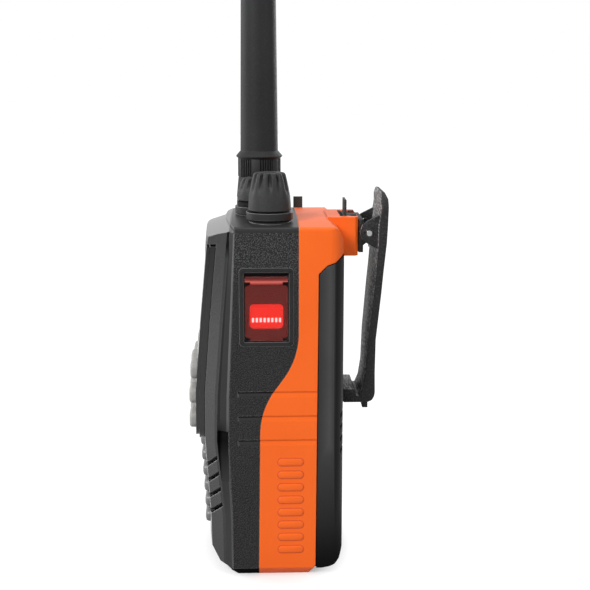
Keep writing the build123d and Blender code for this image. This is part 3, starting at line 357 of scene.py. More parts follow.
# what a finish has unless its own row says otherwise; depth and edge are in metres
usual = dict(mottleScale=40, grainScale=3000, grainDetail=2, grainStretch=None, pebbles=False, speckle=0.15,
             speckleLow=0.5, speckleHigh=0.7, rough=0.34, roughSpan=0.1, bump=0.12, depth=0.0001, edge=None,
             wearAndSheen=0, specular=0.3)
looks = dict(
    textured_black=dict(
        colour=(0.019, 0.019, 0.0194), mottle=(0.015, 0.015, 0.0153), light=(0.105, 0.105, 0.107),
        wornSheen=(0.19, 0.19, 0.193), paintedShade=(0.003, 0.003, 0.003), mottleScale=60, grainScale=1900, speckle=0.34,
        speckleTop=2.7, speckleLow=0.45, speckleHigh=0.95, rough=0.40, roughSpan=0.2, bump=1.0, depth=0.0005,
        edge=0.0005, pebbles=True, wearAndSheen=0.9, specular=0.16),
    smooth_charcoal=dict(
        colour=(0.034, 0.034, 0.0348), mottle=(0.028, 0.028, 0.0287), light=(0.085, 0.085, 0.087),
        roughSpan=0.12, bump=0.15, edge=0.0004, wearAndSheen=0.6, specular=0.28),
    cover_satin=dict(
        colour=(0.020, 0.020, 0.0207), mottle=(0.016, 0.016, 0.0166), light=(0.06, 0.06, 0.062),
        wornSheen=(0.12, 0.12, 0.123), paintedShade=(0.003, 0.003, 0.003), rough=0.20, edge=0.0004, wearAndSheen=0.8,
        specular=0.7),
    # painted reflection: paler than the cover, for the light the brow catches from above
    brow_satin=dict(
        colour=(0.19, 0.19, 0.193), mottle=(0.16, 0.16, 0.163), light=(0.25, 0.25, 0.252), edge=0.0004,
        specular=0.5),
    # painted sheen: pale grey, for the light the black front catches at a glancing angle
    rib_satin=dict(
        colour=(0.17, 0.17, 0.172), mottle=(0.15, 0.15, 0.152), light=(0.23, 0.23, 0.232), edge=0.0004,
        wearAndSheen=0.4, specular=0.6),
    frame_black=dict(
        colour=(0.013, 0.013, 0.0134), mottle=(0.010, 0.010, 0.0103), light=(0.05, 0.05, 0.051),
        wornSheen=(0.20, 0.20, 0.203), mottleScale=50, grainScale=2200, speckle=0.3, rough=0.45, roughSpan=0.15,
        bump=0.4, depth=0.0002, edge=0.0004, wearAndSheen=1.0, specular=0.2),
    battery_satin=dict(
        colour=(0.056, 0.056, 0.0568), mottle=(0.048, 0.048, 0.0486), light=(0.09, 0.09, 0.091),
        wornSheen=(0.10, 0.10, 0.102), paintedShade=(0.004, 0.004, 0.0042), grainScale=3200, roughSpan=0.12, edge=0.0005,
        wearAndSheen=0.5, specular=0.2),
    gloss_black=dict(
        colour=(0.008, 0.008, 0.009), mottle=(0.006, 0.006, 0.007), light=(0.02, 0.02, 0.02), mottleScale=30,
        grainScale=2500, speckle=0.2, rough=0.14, roughSpan=0.06, bump=0.04, edge=0.0004, coat=0.25,
        coatRough=0.05),
    grey_rubber=dict(
        colour=(0.030, 0.030, 0.031), mottle=(0.024, 0.024, 0.025), light=(0.06, 0.06, 0.06), mottleScale=80,
        grainScale=2600, speckle=0.4, rough=0.55, roughSpan=0.15, bump=0.3, edge=0.0004, wearAndSheen=0.4,
        specular=0.2),
    key_rubber=dict(
        colour=(0.34, 0.335, 0.325), mottle=(0.31, 0.305, 0.295), light=(0.42, 0.415, 0.40),
        wornSheen=(0.48, 0.475, 0.46), mottleScale=80, grainScale=2600, speckle=0.3, rough=0.42, roughSpan=0.15,
        bump=0.2, edge=0.0004, wearAndSheen=0.5, specular=0.35),
    tab_rubber=dict(
        colour=(0.060, 0.069, 0.066), mottle=(0.050, 0.058, 0.055), light=(0.10, 0.11, 0.11), mottleScale=80,
        grainScale=2600, speckle=0.3, rough=0.45, roughSpan=0.15, bump=0.2, edge=0.0004, wearAndSheen=0.4),
    orange_plastic=dict(
        colour=(0.94, 0.146, 0.015), mottle=(0.90, 0.132, 0.013), light=(0.97, 0.180, 0.024),
        paintedShade=(0.70, 0.085, 0.008), mottleScale=25, grainScale=2800, speckle=0.3, bump=0.10, edge=0.0006,
        wearAndSheen=0.35, specular=0.2),
    seal_rubber=dict(
        colour=(0.008, 0.008, 0.008), mottle=(0.006, 0.006, 0.006), light=(0.02, 0.02, 0.02), mottleScale=90,
        grainScale=2400, speckle=0.4, rough=0.7, bump=0.2, specular=0.15),
    speaker_black=dict(
        colour=(0.008, 0.008, 0.008), mottle=(0.006, 0.006, 0.006), light=(0.015, 0.015, 0.015),
        mottleScale=90, grainScale=2400, speckle=0.4, rough=0.7, bump=0.3, specular=0.1),
    membrane_grey=dict(
        colour=(0.012, 0.012, 0.012), mottle=(0.010, 0.010, 0.010), light=(0.03, 0.03, 0.03), mottleScale=90,
        grainScale=3800, speckle=0.7, rough=0.7, bump=0.5, specular=0.1),
    antenna_rubber=dict(
        colour=(0.020, 0.020, 0.0207), mottle=(0.015, 0.015, 0.0156), light=(0.04, 0.04, 0.041),
        mottleScale=45, grainScale=1900, speckle=0.3, rough=0.44, roughSpan=0.15, bump=0.35, depth=0.00012,
        edge=0.0003, wearAndSheen=0.4, specular=0.16),
    knob_plastic=dict(
        colour=(0.031, 0.031, 0.0318), mottle=(0.025, 0.025, 0.0257), light=(0.075, 0.075, 0.077),
        mottleScale=70, grainScale=2300, speckle=0.25, rough=0.42, roughSpan=0.15, bump=0.25, edge=0.0003,
        wearAndSheen=0.7, specular=0.16),
    clip_plastic=dict(
        colour=(0.016, 0.016, 0.0165), mottle=(0.013, 0.013, 0.0135), light=(0.06, 0.06, 0.062),
        mottleScale=60, grainScale=1500, speckle=0.5, speckleHigh=0.72, rough=0.42, roughSpan=0.2, bump=0.7,
        depth=0.0004, edge=0.0004, grainDetail=1, wearAndSheen=0.8, specular=0.2),
    # painted reflection: far paler than the lever's own plastic
    clip_inner=dict(
        colour=(0.085, 0.085, 0.0865), mottle=(0.065, 0.065, 0.0662), light=(0.46, 0.46, 0.463),
        mottleScale=60, grainScale=1250, grainStretch=(0.22, 1, 1), speckle=0.9, speckleLow=0.46,
        speckleHigh=0.62, rough=0.40, roughSpan=0.2, bump=0.4, depth=0.0002, edge=0.0003),
    cell_wrap=dict(
        colour=(0.05, 0.16, 0.30), mottle=(0.04, 0.13, 0.26), light=(0.1, 0.2, 0.35), grainScale=900,
        speckle=0.2, rough=0.3, bump=0.05),
    display_glass=dict(
        colour=(0.28, 0.31, 0.27), mottle=(0.26, 0.29, 0.25), light=(0.33, 0.36, 0.31), speckle=0.2,
        rough=0.25, roughSpan=0.05, bump=0.02),
    board_green=dict(
        colour=(0.01, 0.09, 0.03), mottle=(0.008, 0.07, 0.025), light=(0.03, 0.15, 0.06), mottleScale=200,
        grainScale=900, speckle=0.5, rough=0.35, bump=0.2),
)
looks = {name: dict(usual, **look) for name, look in looks.items()}
materials = {name: mouldedPlastic(name, look) for name, look in looks.items()}

# where the finishes, painted shade and painted highlights of the body meet, in mm: x out from the middle, y
# from front to back, z up from the foot
bodyLook = dict(grainX=29.85, grainZ=(2.2, 126.3), lipTops=(69.7, 60.8, 51.9), lipDeep=0.6, lipX=28.9,
                lipY=-12.3, facetX=29.8, facetY=-14.6, facetZ=61, edgeX=(29.4, 29.9), edgeY=-12, edgeZ=126,
                seamX=(27.3, 28.1), seamY=-14.9, seamZ=57, footZ=2.9, coverX=27.0, browZ=130.3,
                browSlope=0.27)


# the housing is grained on its flat sides only; its front leaf, top and foot edge are smooth
def flatSide(finish):
    x = abs(finish.axis("X"))
    return (x > bodyLook["grainX"] * mm) * finish.axis("Z").between(*bodyLook["grainZ"])


# painted shade: dark lines under the upper lip of each grip groove, where the lip shades it
def underLips(finish):
    look = bodyLook
    z = finish.axis("Z")
    lines = 0
    for top in look["lipTops"]:
        lines = lines + z.between(top - look["lipDeep"], top)
    return lines * (abs(finish.axis("X")) > look["lipX"] * mm) * (finish.axis("Y") > look["lipY"] * mm)


# the facet in front of each flat side, up to the top of its finger hollow
def hollowFacet(finish):
    look = bodyLook
    x = abs(finish.axis("X"))
    z = finish.axis("Z")
    return (finish.axis("Y") < look["facetY"] * mm) * (x < look["facetX"] * mm) * (z < look["facetZ"] * mm)


# painted shade along the seam between the front cover and the housing: faint, with a dark notch at its top
def seamDepth(finish):
    return finish.ramp(finish.axis("Z") * 8, (0.935, 0.28), (0.97, 0.85))


# painted highlight: a thin line of light along the housing's front edge, stronger towards the top
def frontEdge(finish):
    look = bodyLook
    z = finish.axis("Z")
    strip = abs(finish.axis("X")).between(*look["edgeX"]) * (finish.axis("Y") < look["edgeY"] * mm)
    return strip * (z < look["edgeZ"] * mm) * finish.ramp(z * 8, (0.3, 0.22), (0.65, 0.5))


# on the housing, shade also fills the finger hollow, fading downwards and outwards, and the foot
def housingShade(finish):
    look = bodyLook
    z = finish.axis("Z")
    x = abs(finish.axis("X"))
    down = finish.ramp(z * 10, (0.20, 0), (0.36, 0.1), (0.44, 0.5), (0.51, 1), (0.54, 0.9), (0.57, 0.35),
                       (0.60, 0))
    outward = finish.ramp(x * 30, (0.84, 0.80), (0.888, 0.30))
    seam = x.between(*look["seamX"]) * (finish.axis("Y") < look["seamY"] * mm) * (z > look["seamZ"] * mm)
    hollow = (hollowFacet(finish) * down * outward).peak(seam * seamDepth(finish))
    return (underLips(finish) * 0.85 + hollow).peak((z < look["footZ"] * mm) * 0.92)


# the same painted shade, on the cover's side of the seam
def coverSeam(finish):
    return (abs(finish.axis("X")) > bodyLook["coverX"] * mm) * seamDepth(finish)


# the brow over the display slopes back; it is duller than the rest of the cover and painted paler, a painted
# reflection of the light from above
def belowBrow(finish):
    return (finish.axis("Z") - bodyLook["browSlope"] * finish.axis("Y")) < bodyLook["browZ"] * mm


# painted shade: the battery darkens towards the orange case, its rear corner and its heel, as light falls off
# round its curved side
def batteryShade(finish):
    across = finish.ramp(finish.axis("Y") * 30, (0.25, 1), (0.28, 0.80), (0.50, 0.30), (0.60, 0),
                         (0.64, 0.10), (0.67, 0.70), (0.80, 0.45))
    side = finish.ramp(abs(finish.axis("X")) * 30, (0.72, 0), (0.88, 0.9))
    heel = finish.ramp(finish.axis("Z") * 20, (0.05, 0.9), (0.4, 0.55), (0.9, 0.2), (1, 0))
    return (across * side).peak(heel)


# the housing's smooth parts are a little darker than the other smooth plastic
housingPlain = dict(looks["smooth_charcoal"], colour=(0.027, 0.027, 0.0275), mottle=(0.022, 0.022, 0.0224))
housingSkin = mouldedPlastic("housingSkin", looks["textured_black"], housingPlain, flatSide, housingShade,
                             hollowFacet, frontEdge)
# painted shade under the grip groove lips, faint on the orange
orangeSkin = mouldedPlastic("orangeSkin", looks["orange_plastic"], crease=lambda f: underLips(f) * 0.25)
coverSkin = mouldedPlastic("coverSkin", looks["cover_satin"], looks["brow_satin"], belowBrow, coverSeam)
batterySkin = mouldedPlastic("batterySkin", looks["battery_satin"], crease=batteryShade)

# bare and plated metals: colour and roughness
metalLook = dict(steel=((0.62, 0.62, 0.64), 0.25), polished_pin=((0.50, 0.50, 0.51), 0.2),
                 chassis_metal=((0.55, 0.56, 0.57), 0.40), tin_plate=((0.66, 0.66, 0.66), 0.35),
                 brass=((0.80, 0.60, 0.28), 0.28))


def brushedMetal(name, colour, rough):
    finish = Finish(name, Metallic=1.0)
    streak = finish.noise(700, 3, 0.6, (1, 1, 30))
    tone = finish.blend(streak, tuple(0.8 * level for level in colour), colour)
    finish.set(Base_Color=tone, Roughness=rough + streak * 0.15)
    finish.bump(streak, 0.1, 0.0001, 0.0003)
    return finish.material


for name, look in metalLook.items():
    materials[name] = brushedMetal(name, *look)

# the distress cover is a dark see-through plate; its hinge roll is solid, with a painted highlight along it
# and painted shade at its top
clearLook = dict(plate=((0.17, 0.014, 0.010), (0.21, 0.018, 0.012)), roll=(0.30, 0.020, 0.014),
                 glint=(0.90, 0.20, 0.16), rollTopShade=(0.045, 0.004, 0.003), rollZ=108.3, plateAlpha=0.48,
                 rollAlpha=0.42)


def clearRed():
    look = clearLook
    finish = Finish("clear_red", IOR=1.49, Specular_IOR_Level=0.3)
    cloud = finish.noise(120, 3)
    z = finish.axis("Z")
    roll = z > look["rollZ"] * mm
    # painted highlight: a thin paler band along the roll; painted shade: the roll's top is painted dark
    glint = finish.ramp(z * 8, (0.8700, 0), (0.8725, 1), (0.8745, 1), (0.8770, 0))
    top = finish.ramp(z * 8, (0.879, 0), (0.885, 1))
    bar = finish.blend(top, finish.blend(glint, look["roll"], look["glint"]), look["rollTopShade"])
    finish.set(Base_Color=finish.blend(roll, finish.blend(cloud, *look["plate"]), bar),
               Roughness=0.14 + cloud * 0.08,
               Alpha=look["plateAlpha"] + cloud * 0.04 + roll * look["rollAlpha"])
    return finish.material


# painted light: the button under it glows, though it is no lamp, so that it shows through the dark plate
signalLook = dict(colour=((0.92, 0.020, 0.012), (0.98, 0.026, 0.016)),
                  glow=((0.95, 0.016, 0.009), (1, 0.022, 0.012)), strength=2.6)


def signalRed():
    look = signalLook
    finish = Finish("signal_red", Emission_Strength=look["strength"])
    cloud = finish.noise(200, 3)
    finish.set(Base_Color=finish.blend(cloud, *look["colour"]), Roughness=0.38 + cloud * 0.1,
               Emission_Color=finish.blend(cloud, *look["glow"]))
    finish.bump(cloud, 0.1, 0.0001, 0.0006)
    return finish.material


def clearWindow():
    finish = Finish("clear_window", IOR=1.5, Specular_IOR_Level=0.3, Base_Color=(0.02, 0.022, 0.022))
    smear = finish.noise(60, 4)
    finish.set(Roughness=0.04 + smear * 0.04, Alpha=0.12 + smear * 0.02)
    return finish.material


def paint(name, colour, rough=0.5, emission=0.0):
    finish = Finish(name)
    wearAndSheen = finish.noise(900, 3)
    finish.set(Base_Color=finish.blend(wearAndSheen, tuple(0.9 * level for level in colour), colour),
               Roughness=rough + wearAndSheen * 0.1)
    if emission:
        finish.set(Emission_Color=colour, Emission_Strength=emission)
    return finish.material


materials["clear_red"] = clearRed()
materials["signal_red"] = signalRed()
materials["clear_window"] = clearWindow()
# painted light: the white marks glow, though they are no lamp, so that they read white under the red plate
whiteMark = paint("white_mark", (0.90, 0.80, 0.80), emission=3.0)
# painted shade: the darker orange of the plates round the raised bars
shadowOrange = paint("deep_orange", (0.70, 0.085, 0.008), 0.45)
segmentInk = paint("segment_ink", (0.012, 0.016, 0.014))
keyInk = paint("key_ink", (0.015, 0.015, 0.016))
print("materials made:", len(materials))

slotOf = {row["node"]: row["material_slot"] for row in frame["record"]["subparts"]}
special = dict(front_housing=housingSkin, rear_case=orangeSkin, front_cover=coverSkin,
               battery_case=batterySkin, battery_lid=batterySkin, jack_cover=materials["tab_rubber"],
               distress_hinge_pin=materials["gloss_black"])
materialOf = {name: special.get(name, materials[slot]) for name, slot in slotOf.items()}
for name, node in nodes.items():
    node.data.materials.clear()
    node.data.materials.append(materialOf[name])


# CAD forms whose edges are rounded off a little, by these widths in mm
shellRounds = dict(clip_lever=0.3, clip_base=0.2, jack_cover=0.25, ptt_button=0.2, side_key_upper=0.2,
                   side_key_lower=0.2, distress_button=0.2)
leverLook = dict(footRound=1.3, footX=15, footY=36, footZ=63, innerZ=58, lowZ=72)


def leverFoot(a, b):
    # the outer corner of the lever's foot takes a broader round
    look = leverLook
    return (abs(a.x - b.x) > look["footX"] * mm and min(a.y, b.y) > look["footY"] * mm
            and max(a.z, b.z) < look["footZ"] * mm)


def softShell(name, width, segments=2):
    shell = meshCopy(nodes[name])
    chooseAll(shell)
    bpy.ops.mesh.remove_doubles(threshold=0.004 * mm)
    bpy.ops.mesh.dissolve_limited(angle_limit=math.radians(0.5))
    objectMode()
    if name == "clip_lever":
        choose(shell, "EDGE", leverFoot)
        bpy.ops.mesh.bevel(offset=leverLook["footRound"] * mm, segments=5, affect="EDGES")
        objectMode()
    roundEdges(shell, width * mm, segments)
    return settle(shell, name + "Soft", name, materialOf[name], (name,))


for name, width in shellRounds.items():
    softShell(name, width)


def paleInnerSide(lever):
    # towards the battery, and on top of its hook, the lever is coarser and painted paler than its edges, a
    # painted reflection of the light they catch
    inner, low = leverLook["innerZ"] * mm, leverLook["lowZ"] * mm
    lever.data.materials.append(materials["clip_inner"])
    choose(lever, "FACE", lambda c, n: n.y < -0.6 and c.z > inner or n.z > 0.35 and c.z < low)
    lever.active_material_index = 1
    bpy.ops.object.material_slot_assign()
    objectMode()


# a key's front is dished a little inside its rounded edge
keyWords = ("menu", "up", "back", "left", "enter", "right", "light", "down", "scan")
keyNames = ["key_" + word for word in keyWords]
keyLook = dict(round=0.3, rim=0.45, dish=0.16)


def makeKeys():
    for name in keyNames:
        keyTop = softShell(name, keyLook["round"], 3)
        choose(keyTop, "FACE", lambda c, n: n.y < -0.99)
        bpy.ops.mesh.inset(thickness=keyLook["rim"] * mm)
        bpy.ops.transform.translate(value=(0, keyLook["dish"] * mm, 0))
        objectMode()


makeKeys()
paleInnerSide(bpy.data.objects["clip_leverSoft"])
print("shells softened")


def turned(place, rings, count):
    # a ring of verts, extruded and resized up a list of (radius, height), closed at both ends
    x, y = place
    radius, height = rings[0]
    selectNothing()
    bpy.ops.mesh.primitive_circle_add(vertices=count, radius=radius, location=(x, y, height))
    piece = bpy.context.object
    fixPlace()
    chooseAll(piece)
    bpy.ops.mesh.edge_face_add()
    bpy.ops.mesh.select_mode(type="EDGE")
    for nextRadius, nextHeight in rings[1:]:
        bpy.ops.mesh.extrude_region_move(TRANSFORM_OT_translate={"value": (0, 0, nextHeight - height)})
        share = nextRadius / radius
        bpy.ops.transform.resize(value=(share, share, 1), center_override=(x, y, nextHeight))
        radius, height = nextRadius, nextHeight
    bpy.ops.mesh.select_all(action="SELECT")
    bpy.ops.mesh.normals_make_consistent(inside=False)
    objectMode()
    return piece


def pinch(piece, place, share, test):
    # moves the chosen verts towards the upright axis
    choose(piece, "VERT", test)
    bpy.ops.transform.resize(value=(share, share, 1), center_override=(*place, 0))
    objectMode()


def turnOf(vert, place, count):
    # which of the count steps round the axis a vert stands on
    angle = math.atan2(vert.y - place[1], vert.x - place[0])
    return round(angle / (2 * math.pi) * count) % count


# radii and lengths in mm; levels are shares of the height, each with what the flutes leave of the radius,
# and flanks is how much of a flute's depth its bed and the verts beside it take
knobLook = dict(count=96, flutes=12, crown=5.8, skirt=7.55, belly=0.42, lip=0.4, bevel=0.8, plain=(0.2, 0.4),
                dimple=(2.6, 2.2, 0.35), core=4.0, slack=0.02, flanks=(1, 0.72, 0.12),
                levels=((1.0, 0.72), (0.92, 0.75), (0.82, 0.81), (0.72, 0.87), (0.62, 0.93), (0.53, 0.975)))


def makeKnob(name):
    look = knobLook
    place = middleOf(name).xy
    foot, top = (corner.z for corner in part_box(name))
    lip, bevel, core, slack = (look[key] * mm for key in ("lip", "bevel", "core", "slack"))
    side = top - foot - bevel

    def radiusAt(share):
        straight = look["skirt"] + (look["crown"] - look["skirt"]) * share
        return (straight + look["belly"] * math.sin(math.pi * share)) * mm

    rings = [(radiusAt(0) - lip, foot), (radiusAt(0), foot + lip)]
    rings += [(radiusAt(share), foot + share * (top - foot)) for share in look["plain"]]
    rings += [(radiusAt(share), foot + share * side) for share, depth in reversed(look["levels"])]
    rings += [(radiusAt(1) - 0.5 * bevel, top - 0.3 * bevel), (radiusAt(1) - 1.4 * bevel, top)]
    outer, inner, sunk = (length * mm for length in look["dimple"])
    rings += [(outer, top), (inner, top - sunk)]
    knob = turned(place, rings, look["count"])
    step = look["count"] // look["flutes"]
    for share, depth in look["levels"]:
        level = foot + share * side
        upTo = top if share == 1 else level

        def onLevel(vert):
            return level - slack < vert.z < upTo + slack and (place - vert.xy).length > core

        for aside, amount in enumerate(look["flanks"]):
            pinch(knob, place, 1 - (1 - depth) * amount,
                  lambda v: onLevel(v) and turnOf(v, place, look["count"]) % step in (aside, step - aside))
    settle(knob, name + "Turned", name, materials["knob_plastic"], (name,), 32)


makeKnob("volume_knob")
makeKnob("squelch_knob")

# radii and heights in mm; root is where the whip leaves the ribbed sleeve
antennaLook = dict(count=216, sleeve=8.7, sleeveTop=8.0, ribTop=8.15, flange=8.9, root=7.15, tip=5.6,
                   rootZ=150.7, flangeHeight=2.4, flangeEdge=1.5, ribHeight=6.9, ribShare=0.93, group=36,
                   ribbed=23, ribStep=4, steps=10, tipTurns=(18, 36, 54, 70, 82))


def makeAntenna():
    look = antennaLook
    place = middleOf("antenna_sheath").xy
    foot, top = (corner.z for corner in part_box("antenna_sheath"))
    sleeve, sleeveTop, ribTop, root, tip, rootZ = (look[key] * mm for key in (
        "sleeve", "sleeveTop", "ribTop", "root", "tip", "rootZ"))
    flangeLow = rootZ - look["flangeHeight"] * mm
    ribLow = flangeLow - look["ribHeight"] * mm
    rings = [(0.96 * sleeve, foot), (sleeve, foot + 0.3 * mm), (sleeveTop, ribLow - 0.3 * mm),
             (0.97 * sleeveTop, ribLow), (ribTop, ribLow + 0.2 * mm), (ribTop, flangeLow - 0.2 * mm),
             (0.985 * ribTop, flangeLow), (look["flange"] * mm, rootZ - look["flangeEdge"] * mm),
             (root + 0.5 * mm, rootZ), (root, rootZ + 0.5 * mm)]
    for step in range(1, look["steps"] + 1):
        share = step / look["steps"]
        rings.append((root + (tip - root) * share, rootZ + share * (top - tip - rootZ)))
    for turn in look["tipTurns"]:
        angle = math.radians(turn)
        rings.append((tip * math.cos(angle), top - tip + tip * math.sin(angle)))
    antenna = turned(place, rings, look["count"])

    def inRib(vert):
        spot = turnOf(vert, place, look["count"]) % look["group"]
        ribbed = spot < look["ribbed"] and spot % look["ribStep"] in (2, 3)
        return ribbed and ribLow + 0.1 * mm < vert.z < flangeLow - 0.1 * mm

    pinch(antenna, place, look["ribShare"], inRib)
    settle(antenna, "antennaTurned", "antenna", materials["antenna_rubber"],
           ("antenna_sheath",), 32)


makeAntenna()
print("turned pieces made")

# the body's flat sides stand this far from the middle, and what sits on them starts a little deeper
sideX = 30.0
rooted = 0.2


def roundedPlate(low, high, corner, bevel, axis="X", steps=6):
    # a plate with its four upright corners rounded; axis is its thin direction
    plate = boxPiece(low, high)
    thin = "XYZ".index(axis)
    choose(plate, "EDGE", lambda a, b: abs((a - b)[thin]) > 0.5 * (Vector(high) - Vector(low))[thin])
    bpy.ops.mesh.bevel(offset=corner, segments=steps, affect="EDGES")
    objectMode()
    if bevel:
        roundEdges(plate, bevel, 2, 40)
    return plate


# a smooth frame stands round the distress pocket; the gap above leaves room for the opened cover
frameLook = dict(margin=1.7, side=0.4, foot=0.5, top=1.15, proud=0.14, round=1.6, bevel=0.1)


def makeDistressFrame():
    look = frameLook
    low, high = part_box("distress_cover")
    across = look["side"] + look["margin"]
    low = low - Vector((0, across, look["foot"] + look["margin"])) * mm
    high = high + Vector((0, across, look["top"] + look["margin"])) * mm
    low.x, high.x = (sideX - rooted) * mm, (sideX + look["proud"]) * mm
    middle = (low + high) / 2
    surround = roundedPlate(low, high, look["round"] * mm, 0)
    choose(surround, "FACE", lambda c, n: abs(n.x) > 0.9)
    bpy.ops.mesh.inset(thickness=look["margin"] * mm, use_even_offset=True)
    objectMode()
    choose(surround, "FACE", lambda c, n: abs(n.x) > 0.9 and (c - middle).yz.length < 2 * mm)
    bpy.ops.mesh.bridge_edge_loops()
    objectMode()
    roundEdges(surround, look["bevel"] * mm, 2, 40)
    settle(surround, "distressFrame", "radio", materials["frame_black"])


# plain dashes in a row on the distress button's cap
dashLook = dict(count=8, pitch=1.35, size=(0.14, 0.8, 1.6), sunk=0.03, rise=0.38, round=0.25)


def makeDashes():
    look = dashLook
    low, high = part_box("distress_button")
    middle = middleOf("distress_button")
    middle.x = high.x - look["sunk"] * mm
    middle.z = low.z + look["rise"] * (high.z - low.z)
    half = Vector(look["size"]) / 2 * mm
    dashes = []
    for y in inRow(look["count"], look["pitch"]):
        spot = middle + Vector((0, y, 0)) * mm
        dashes.append(roundedPlate(spot - half, spot + half, look["round"] * mm, 0))
    # the dashes take the glowing white, a painted light
    settle(joinPieces(dashes), "distressDashes", "distress_button", whiteMark)


makeDistressFrame()
makeDashes()

# plain raised bars on the orange side, each on a darker orange plate that is painted shade round the bar
barLook = dict(count=8, low=9.0, pitch=4.75, tall=2.6, y=(1.8, 10.8), proud=0.28, bevel=0.22, shadowProud=0.04,
               shadowGrow=0.35)


def makeBars():
    look = barLook
    kinds = (("sideBars", 0, look["proud"], look["bevel"], materials["orange_plastic"]),
             ("sideBeds", look["shadowGrow"], look["shadowProud"], 0, shadowOrange))
    for side, word in ((1, "Right"), (-1, "Left")):
        for kind, grow, proud, bevel, material in kinds:
            x = sorted((side * (sideX - rooted), side * (sideX + proud)))
            bars = []
            for index in range(look["count"]):
                z = look["low"] + index * look["pitch"]
                bars.append(roundedPlate(Vector((x[0], look["y"][0] - grow, z - grow)) * mm,
                                         Vector((x[1], look["y"][1] + grow, z + look["tall"] + grow)) * mm,
                                         (look["tall"] / 2 + grow - 0.05) * mm, bevel * mm))
            settle(joinPieces(bars), kind + word, "radio", material)


makeBars()

# grip ribs on the talk button and a plain raised dot on each side key
gripLook = dict(count=7, pitch=3.3, tall=1.3, reach=4.6, proud=0.34, round=0.5, bevel=0.14, dot=1.0,
                dotRound=0.95)


def makeGrip(node, z, reach, half, corner):
    # one raised plate on the left face of a node, at a height, with its half width and half height
    middle = middleOf(node) + Vector((0, 0, z)) * mm
    middle.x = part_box(node)[0].x
    return roundedPlate(middle - Vector((gripLook["proud"], reach, half)) * mm,
                        middle + Vector((rooted, reach, half)) * mm, corner * mm, gripLook["bevel"] * mm)


def makeGrips():
    look = gripLook
    ribs = [makeGrip("ptt_button", z, look["reach"], look["tall"] / 2, look["round"])
            for z in inRow(look["count"], look["pitch"])]
    settle(joinPieces(ribs), "pttRibs", "ptt_button", materialOf["ptt_button"])
    for name in ("side_key_upper", "side_key_lower"):
        dot = makeGrip(name, 0, look["dot"], look["dot"], look["dotRound"])
        settle(dot, name + "Dot", name, materials["tab_rubber"])


makeGrips()

# black facing round the mouth of the clip's slot, on top of the boss: where each plate lies in x and y
facingLook = dict(sunk=0.1, proud=0.06, round=0.3, bevel=0.04, plates=(
    ((-8.6, 8.6), (24.9, 26.0)), ((4.2, 8.6), (28.8, 31.0)), ((-8.6, -4.2), (28.8, 31.0))))


def makeSlotFacing():
    look = facingLook
    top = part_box("rear_case")[1].z
    plates = []
    for x, y in look["plates"]:
        plates.append(roundedPlate((x[0] * mm, y[0] * mm, top - look["sunk"] * mm),
                                   (x[1] * mm, y[1] * mm, top + look["proud"] * mm),
                                   look["round"] * mm, look["bevel"] * mm, "Z"))
    settle(joinPieces(plates), "slotFacing", "radio", materials["seal_rubber"])


makeSlotFacing()

# rounded ribs down the middle of the speaker, between the slots; slope is the front's depth at each height
ribLook = dict(count=6, top=45.0, pitch=6.0, tall=4.9, half=8.8, taper=-0.3, proud=3.0, sunk=0.6, corner=2.2,
               round=1.3, slope=((0, 22.3), (22, 22.5), (51, 24.3), (68, 24.2)))


def frontAt(z):
    for (low, near), (high, far) in zip(ribLook["slope"], ribLook["slope"][1:]):
        if z <= high:
            return -(near + (far - near) * (z - low) / (high - low))


def makeRibs():
    look = ribLook
    ribs = []
    for index in range(look["count"]):
        z = look["top"] - index * look["pitch"]
        half = look["half"] - index * look["taper"]
        face = frontAt(z)
        ribs.append(roundedPlate(Vector((-half, face - look["proud"], z - look["tall"] / 2)) * mm,
                                 Vector((half, face + look["sunk"], z + look["tall"] / 2)) * mm,
                                 look["corner"] * mm, look["round"] * mm, "Y"))
    # the ribs' pale grey is a painted sheen for the light the front catches at a glancing angle
    settle(joinPieces(ribs), "speakerRibs", "radio", materials["rib_satin"])


makeRibs()

# dark washers round the ends of the clip's pin
washerLook = dict(radius=1.75, thick=0.16, x=12.52, bevel=0.05)


def makeWashers():
    look = washerLook
    pin = middleOf("clip_pin")
    washers = []
    for side in (-1, 1):
        place = (side * look["x"] * mm, *pin.yz)
        washer = disc(look["radius"], look["thick"], 40, (0, math.pi / 2, 0), place)
        roundEdges(washer, look["bevel"] * mm, 2, 40)
        washers.append(washer)
    settle(joinPieces(washers), "pinWashers", "clip_lever", materials["gloss_black"])


makeWashers()
print("side details made")

# marks are thin flat plates that face the front, pushed out to the surface behind them
markThick = 0.08


def flatBar(wide, tall, corner=0.0, steps=3):
    half = Vector((wide, markThick, tall)) / 2 * mm
    if corner:
        return roundedPlate(-half, half, corner * mm, 0, "Y", steps)
    return boxPiece(-half, half)


def flatDisc(radius, count=28, turn=0):
    # three verts give an arrow head that points up, turned clockwise in degrees
    return disc(radius, markThick, count, (math.pi / 2, math.radians(turn), 0))


def stamp(plate, x, z):
    twin = meshCopy(plate)
    twin.location = (x * mm, 0, z * mm)
    return twin


def discard(*plates):
    selectNothing()
    for plate in plates:
        plate.select_set(True)
    bpy.ops.object.delete()


def layMarks(pieces, depth, name, body, material):
    marks = joinPieces(pieces)
    pick(marks)
    fixPlace()
    for vert in marks.data.vertices:
        vert.co.y += depth(vert.co.z)
    settle(marks, name, body, material)


# the strokes of each seven-stroke figure
figureStrokes = {"0": "abcdef", "1": "bc", "5": "acdfg", "6": "acdefg", "8": "abcdefg"}


